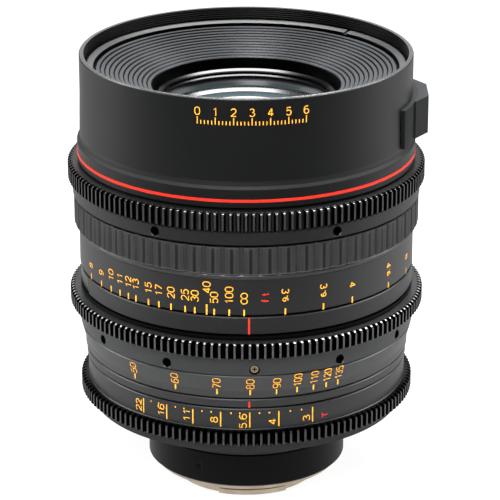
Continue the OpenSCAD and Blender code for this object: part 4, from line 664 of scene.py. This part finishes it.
# Front barrel: one wide turned shell, anodised black, with a flare down to its collar.
# Inside its rim a fine thread takes a filter: its crests show as close rings on the dark wall.
front_black = Finish("front_barrel_black", Specular_IOR_Level=0.38)
cloud = front_black.noise(40, 3)
speck = front_black.noise(2200, 2)
lathe = front_black.noise(700, 3, stretch=LATHE, rough=0.6)
z = front_black.xyz()[2]
inside = 1 - front_black.above(front_black.radius(), 56.0 * MM, 56.2 * MM)
threaded = inside * front_black.above(z, 145.35 * MM, 145.45 * MM)
thread = z / (0.75 * MM) * math.tau
thread = thread.math("SINE", thread)
crest = threaded * front_black.above(thread, 0.6, 0.95)
rim = front_black.above(z, 149.25 * MM, 149.35 * MM)
mottle = ((cloud - 0.5) * 0.35 + (speck - 0.5) * 0.3 + 0.5).clamp()
skin = front_black.mix(mottle, grey(0.0030, -0.08), grey(0.0048, -0.08))
# The inner wall is near-black metal: its own black, deepened into painted shade; the thread crests on it are a
# little brighter metal
skin = front_black.mix(inside, skin, grey(0.004))
skin = front_black.mix(crest, skin, grey(0.02))
skin = front_black.mix(rim, skin, grey(0.2))
front_black.feed("Base Color", skin)
front_black.feed("Metallic", inside.larger(rim))
flare = front_black.band(z, 118.6 * MM, 122.2 * MM, 0.6 * MM, 1.8 * MM)
satin = (cloud - 0.5) * 0.1 + (speck - 0.5) * 0.12 + 0.42
front_black.feed("Roughness", satin - rim * 0.16 + flare * 0.22)
fine = front_black.bump(lathe * 0.5 + speck * 0.5, 0.015 * MM, 0.5)
front_black.feed("Normal", front_black.bump(thread * threaded, 0.16 * MM, 0.9, normal=fine))
front_black.on("front_barrel")
anodised("cell_black", 0.01, 0.5, 0.35).on("front_cell")

# A scale of plain numbers stands where the real barrel is lettered
BARREL_R = 57.0
SCALE_MIDDLE, SCALE_STEP = 2.0, 1.2
SCALE_LOW, SCALE_FIGURES = 140.7, 145.0
scale_marks = []
for step in range(-15, 16):
    tall = 2.4 if step % 5 == 0 else 1.3
    scale_marks.append(stroke(tall, 0.34, SCALE_MIDDLE + step * SCALE_STEP, SCALE_LOW, BARREL_R))
for number in range(7):
    angle = SCALE_MIDDLE + (number * 5 - 15) * SCALE_STEP
    figure = word(str(number), angle, -0.98, 0.98, 2.9, BARREL_R, "level")
    for v in figure.data.vertices:
        v.co.z += SCALE_FIGURES * MM
    scale_marks.append(figure)
painted(scale_marks, "front_scale_marks", orange_paint, "barrel")


# Red ring: a thin aluminium hoop, anodised bright red, snapped into a groove in the collar.
# It is semi-gloss, with the faint turning lines of the metal under the dye.
red_skin = Finish("red_anodised", Specular_IOR_Level=0.15)
red_rings = red_skin.noise(700, 3, stretch=LATHE)
red_cloud = red_skin.noise(60, 2)
red_skin.feed("Base Color", red_skin.mix(red_cloud, shade(206, 36, 20), shade(222, 46, 28)))
red_skin.feed("Roughness", red_rings * 0.15 + 0.3)
red_skin.feed("Normal", red_skin.bump(red_rings, 0.02 * MM, 0.4))
red_skin.on("red_ring")


# Ledge ring and ribbed baffle: a bright-edged black hoop clamps the moulded, stepped cone.
# The steps catch the light from above, one after the other, down to the opening.
ledge = Finish("ledge_ring_black", Metallic=1.0)
ledge_rings = ledge.noise(700, 3, stretch=LATHE)
ledge_top = ledge.above(ledge.radius(), 52.24 * MM, 52.3 * MM)
ledge_bright = ledge.mix(ledge_rings, grey(0.2), grey(0.28))
# Inside its bright edge the hoop is near-black metal: its own black, deepened into painted shade
ledge.feed("Base Color", ledge.mix(ledge_top, grey(0.003), ledge_bright))
ledge.feed("Roughness", ledge_rings * 0.1 + 0.3)
ledge.feed("Normal", ledge.bump(ledge_rings, 0.02 * MM, 0.4))
ledge.on("filter_ledge_ring")
BAFFLE_EDGE, BAFFLE_STEP = 51.2 * MM, 1.592 * MM
ribbed = Finish("ribbed_plastic", Specular_IOR_Level=0.8)
ribbed_grain = ribbed.noise(2400, 2)
ribbed_reach = ribbed.radius()
# Painted shade: the skirt wall at the opening, the brim and the foot of each step are near-black metal
skirt = 1 - ribbed.above(ribbed_reach, 32.1 * MM, 32.4 * MM)
brim = ribbed.above(ribbed_reach, 51.16 * MM, 51.22 * MM)
step = (BAFFLE_EDGE - ribbed_reach) / BAFFLE_STEP
groove = ribbed.above(step.math("FRACT", step), 0.7, 0.8)
shaded = (skirt + brim + groove).clamp()
steps_black = ribbed.mix(ribbed_grain, grey(0.02, -0.12), grey(0.03, -0.12))
ribbed.feed("Base Color", ribbed.mix(shaded, steps_black, grey(0.003)))
ribbed.feed("Metallic", shaded)
ribbed.feed("Roughness", ribbed_grain * 0.12 + 0.36)
ribbed.feed("Normal", ribbed.bump(ribbed_grain, 0.02 * MM, 0.5))
ribbed.on("front_baffle")


# Front lens group: the retaining ring and, under the clear front glass, the steps of the cell with the
# blackened edges of the glasses behind it. The teal and violet rings on those steps are painted reflections of
# the coatings, and the brightest rings are polished metal that throws back the lamps.
def turned(name, outline):
    """A solid turned about the axis from half of its section: radius and height in mm."""
    mesh = bpy.data.meshes.new(name)
    edges = list(zip(range(len(outline)), range(1, len(outline))))
    mesh.from_pydata([(r * MM, 0, z * MM) for r, z in outline], edges, [])
    piece = bpy.data.objects.new(name, mesh)
    bpy.context.scene.collection.objects.link(piece)
    deselect()
    piece.select_set(True)
    bpy.context.view_layer.objects.active = piece
    bpy.ops.object.mode_set(mode="EDIT")
    bpy.ops.mesh.select_all(action="SELECT")
    bpy.ops.mesh.spin(steps=128, angle=math.tau, center=(0, 0, 0), axis=(0, 0, 1))
    bpy.ops.mesh.select_all(action="SELECT")
    bpy.ops.mesh.remove_doubles(threshold=0.002 * MM)
    bpy.ops.mesh.normals_make_consistent(inside=False)
    bpy.ops.object.mode_set(mode="OBJECT")
    bpy.ops.object.shade_smooth_by_angle(angle=math.radians(20))
    return piece


# Two polished lips slope inwards and throw the light of the top lamp forward
retainer = turned("retaining_ring", [
    (29.4, 132.25), (29.4, 133.05), (30.75, 133.93), (32.9, 134.0), (32.9, 132.0), (31.6, 132.0),
    (31.2, 132.6), (29.9, 132.6), (29.9, 131.5), (28.75, 131.5), (28.75, 131.8), (29.4, 132.25),
])
ring_metal = Finish("retainer_satin", Metallic=1.0)
ring_cloud = ring_metal.noise(700, 3, stretch=LATHE)
reach = ring_metal.radius()
lips = ring_metal.band(reach, 29.75 * MM, 30.78 * MM, 0.15 * MM, 0.1 * MM)
lips = lips + ring_metal.band(reach, 28.8 * MM, 29.35 * MM, 0.05 * MM, 0.05 * MM)
lip_metal = ring_metal.mix(ring_cloud, grey(0.045), grey(0.06))
# Off the lips the ring is near-black metal: its own black, deepened into painted shade
ring_metal.feed("Base Color", ring_metal.mix(lips, grey(0.003), lip_metal))
ring_metal.feed("Roughness", ring_cloud * 0.1 + 0.2)
ring_metal.feed("Normal", ring_metal.bump(ring_cloud, 0.02 * MM, 0.3))
ring_metal.on(retainer, "front_retaining_ring")
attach(retainer, "barrel")
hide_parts("front_retaining_ring")

GLASS_R, GLASS_CURVE, GLASS_TOP = 32.8, 110.0, 136.28
DOME_STEPS = 24
dome = []
for ring in range(DOME_STEPS + 1):
    r = GLASS_R * ring / DOME_STEPS
    dome.append((r, GLASS_TOP - GLASS_CURVE + math.sqrt(GLASS_CURVE ** 2 - r ** 2)))
front_glass = turned("front_glass", dome)
coated = Finish("coated_glass")
haze = coated.noise(90, 3)
facing = coated.node("ShaderNodeLayerWeight", None, {"Blend": 0.25}, out="Facing")
coated.feed("Base Color", coated.mix(haze, shade(4, 10, 12), shade(10, 12, 20)))
coated.feed("Roughness", haze * 0.04 + 0.03)
coated.feed("Alpha", facing * 0.15 + 0.1)
coated.on(front_glass, "front_element")
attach(front_glass, "barrel")
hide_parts("front_element")

inner_rings = turned("inner_lens_rings", [
    (0, 122.9), (32.9, 122.9), (32.9, 131.4), (32.4, 131.4), (31.65, 130.88), (30.9, 129.6), (30.5, 129.0),
    (29.9, 128.05), (29.9, 127.9), (28.6, 127.7), (27.05, 126.62), (25.0, 126.55), (21.1, 126.55),
    (19.75, 125.6), (15.0, 125.2), (0, 124.6),
])
painted_reflections = Finish("mirrored_rings", Specular_IOR_Level=0.3)
z = painted_reflections.xyz()[2]

# The rings follow one another down and inwards from the rim at 131.4 mm and 32.4 mm, and depth counts
# both ways together, as the operator sees them: 2.68 for each mm down and 0.84 for each mm inwards
DOWN, INWARD, DEEPEST = 2.68 / MM, 0.84 / MM, 36
POLISHED, DEEP = shade(88, 88, 88), shade(14, 26, 32)
depth = (131.4 * MM - z) * DOWN + (32.4 * MM - painted_reflections.radius()) * INWARD
# The colours along this depth are painted reflections: grey, violet and teal rings as the coated glass throws
# them back, a black ring, and the POLISHED rings, which the bright mask below makes metal
rings = painted_reflections.node("ShaderNodeValToRGB", {"stops": (
    (0.0, shade(88, 88, 90)), (0.054, shade(88, 88, 90)), (0.06, shade(60, 62, 66)), (0.17, shade(70, 72, 76)),
    (0.19, shade(96, 86, 88)), (0.24, shade(84, 76, 78)), (0.25, shade(56, 76, 78)), (0.33, shade(70, 88, 90)),
    (0.34, shade(4, 5, 6)), (0.375, shade(4, 5, 6)), (0.385, POLISHED), (0.495, POLISHED),
    (0.505, shade(44, 60, 64)), (0.62, shade(70, 82, 86)), (0.63, POLISHED), (0.735, POLISHED),
    (0.75, DEEP), (1.0, DEEP),
)}, {"Fac": depth / DEEPEST})
sheen = painted_reflections.noise(90, 3)
painted_reflections.feed("Base Color", painted_reflections.mix(sheen * 0.15, rings, shade(40, 46, 50)))
bright = painted_reflections.near(depth, 0.9, 1.2) + painted_reflections.near(depth, 15.8, 2.3) + painted_reflections.near(depth, 24.5, 2.3)
painted_reflections.feed("Metallic", (bright * 6 + painted_reflections.above(depth, 28.0, 29.0)).clamp())
painted_reflections.feed("Roughness", sheen * 0.1 + 0.2)
painted_reflections.on(inner_rings, "second_element")
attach(inner_rings, "barrel")
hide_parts("second_element")

inner_glass = Finish("inner_glass", IOR=1.6)
inner_haze = inner_glass.noise(120, 2)
inner_glass.feed("Base Color", inner_glass.mix(inner_haze, shade(30, 46, 52), shade(46, 60, 66)))
inner_glass.feed("Roughness", inner_haze * 0.05 + 0.04)
inner_glass.on(
    "focus_element", "variator_front_element", "variator_rear_element",
    "compensator_element", "relay_element", "rear_element",
)


# Support foot: a curved pad and a bevelled block on the barrel's right side, held by two socket screws.
# Milled from aluminium and anodised a little lighter than the barrel; a band along its top edges is a painted
# highlight.
foot_top_highlight = (135.2, 135.6, 0.03)
anodised("foot_black", 0.009, 0.4, 0.04, painted_bands=(foot_top_highlight,)).on("foot_pad")
anodised("foot_block_black", 0.01, 0.42, 0.1, painted_bands=(foot_top_highlight,)).on("foot_block")


# Floor: a plain white sweep under the lens. The camera sees it white, and the lens sees it as
# a bright table that grows dim towards the operator's side.
TABLE_Z = -5.26 * MM
deselect()
bpy.ops.mesh.primitive_plane_add(size=8, location=(0, 1.5, TABLE_Z))
floor = bpy.context.object
floor.name = "floor"
white = Finish("floor_white", Base_Color=(0.8, 0.8, 0.8, 1), Roughness=0.9, Specular_IOR_Level=0.0)
camera_ray = white.node("ShaderNodeLightPath", out="Is Camera Ray")
glossy_ray = white.node("ShaderNodeLightPath", out="Is Glossy Ray")
spot = white.node("ShaderNodeNewGeometry", out="Position")
away = white.node("ShaderNodeSeparateXYZ", None, {"Vector": spot}, out="Y")
far = white.above(away, -0.42, -0.02)
mirror_light = white.node("ShaderNodeEmission", None, {"Color": WHITE, "Strength": far * 0.68 + 0.04})
page = white.node("ShaderNodeEmission", None, {"Color": WHITE, "Strength": 0.93})
shadow = white.node("ShaderNodeBsdfDiffuse", None, {"Color": (0.12, 0.12, 0.12, 1)})
lit = white.node("ShaderNodeAddShader", None, {0: page, 1: shadow})
plain = Wire(white, white.shader.outputs[0])
seen = white.node("ShaderNodeMixShader", None, {0: camera_ray, 1: plain, 2: lit})
white.end(white.node("ShaderNodeMixShader", None, {0: glossy_ray, 1: seen, 2: mirror_light}))
white.on(floor)

# Backdrop: a pale screen far behind the lens, which only shiny surfaces see
deselect()
bpy.ops.mesh.primitive_plane_add(size=1, location=(0, 2.4, 0.85), rotation=(math.radians(90), 0, 0))
screen = bpy.context.object
screen.name = "screen"
bpy.ops.transform.resize(value=(2.2, 1, 1.3))
pale = Finish("screen_white")
screen_glossy = pale.node("ShaderNodeLightPath", out="Is Glossy Ray")
screen_clear = pale.node("ShaderNodeBsdfTransparent")
screen_glow = pale.node("ShaderNodeEmission", None, {"Color": WHITE, "Strength": 0.95})
pale.end(pale.node("ShaderNodeMixShader", None, {0: screen_glossy, 1: screen_clear, 2: screen_glow}))
pale.on(screen)

world = bpy.data.worlds.new("studio")
bpy.context.scene.world = world
world.use_nodes = True
background = world.node_tree.nodes["Background"]
background.inputs["Color"].default_value = WHITE
background.inputs["Strength"].default_value = 0.1


# Studio lamps: a large soft box above, one high in front, and one at each side, slightly behind.
def soft_box(name, place, aim, width, depth, watts):
    lamp = bpy.data.lights.new(name, "AREA")
    lamp.shape = "RECTANGLE"
    lamp.size = width
    lamp.size_y = depth
    lamp.energy = watts
    box = bpy.data.objects.new(name, lamp)
    bpy.context.scene.collection.objects.link(box)
    box.location = place
    box.rotation_euler = (Vector(aim) - Vector(place)).to_track_quat("-Z", "Y").to_euler()


soft_box("top_box", (0.11, 0.16, 0.95), (0.11, 0.16, 0), 0.78, 0.5, 27.0)
soft_box("front_box", (-0.25, -1.3, 1.25), (0, 0, 0.08), 0.9, 0.7, 38.0)
soft_box("left_box", (-0.95, 0.2, 0.45), (0, 0, 0.08), 0.5, 0.9, 8.0)
soft_box("right_box", (0.95, 0.2, 0.45), (0, 0, 0.08), 0.5, 0.9, 8.0)


# Camera: a long lens from the operator's side, looking down on the rim by about twenty degrees.
LOOK_DOWN = 20.352
lens = bpy.data.cameras.new("camera")
lens.lens = 193.76
lens.sensor_width = 36
camera = bpy.data.objects.new("camera", lens)
bpy.context.scene.collection.objects.link(camera)
camera.location = (0.001295, -0.8828, 0.4043)
camera.rotation_euler = (math.radians(90 - LOOK_DOWN), 0, 0)
bpy.context.scene.camera = camera
bpy.context.scene.view_settings.view_transform = "Standard"
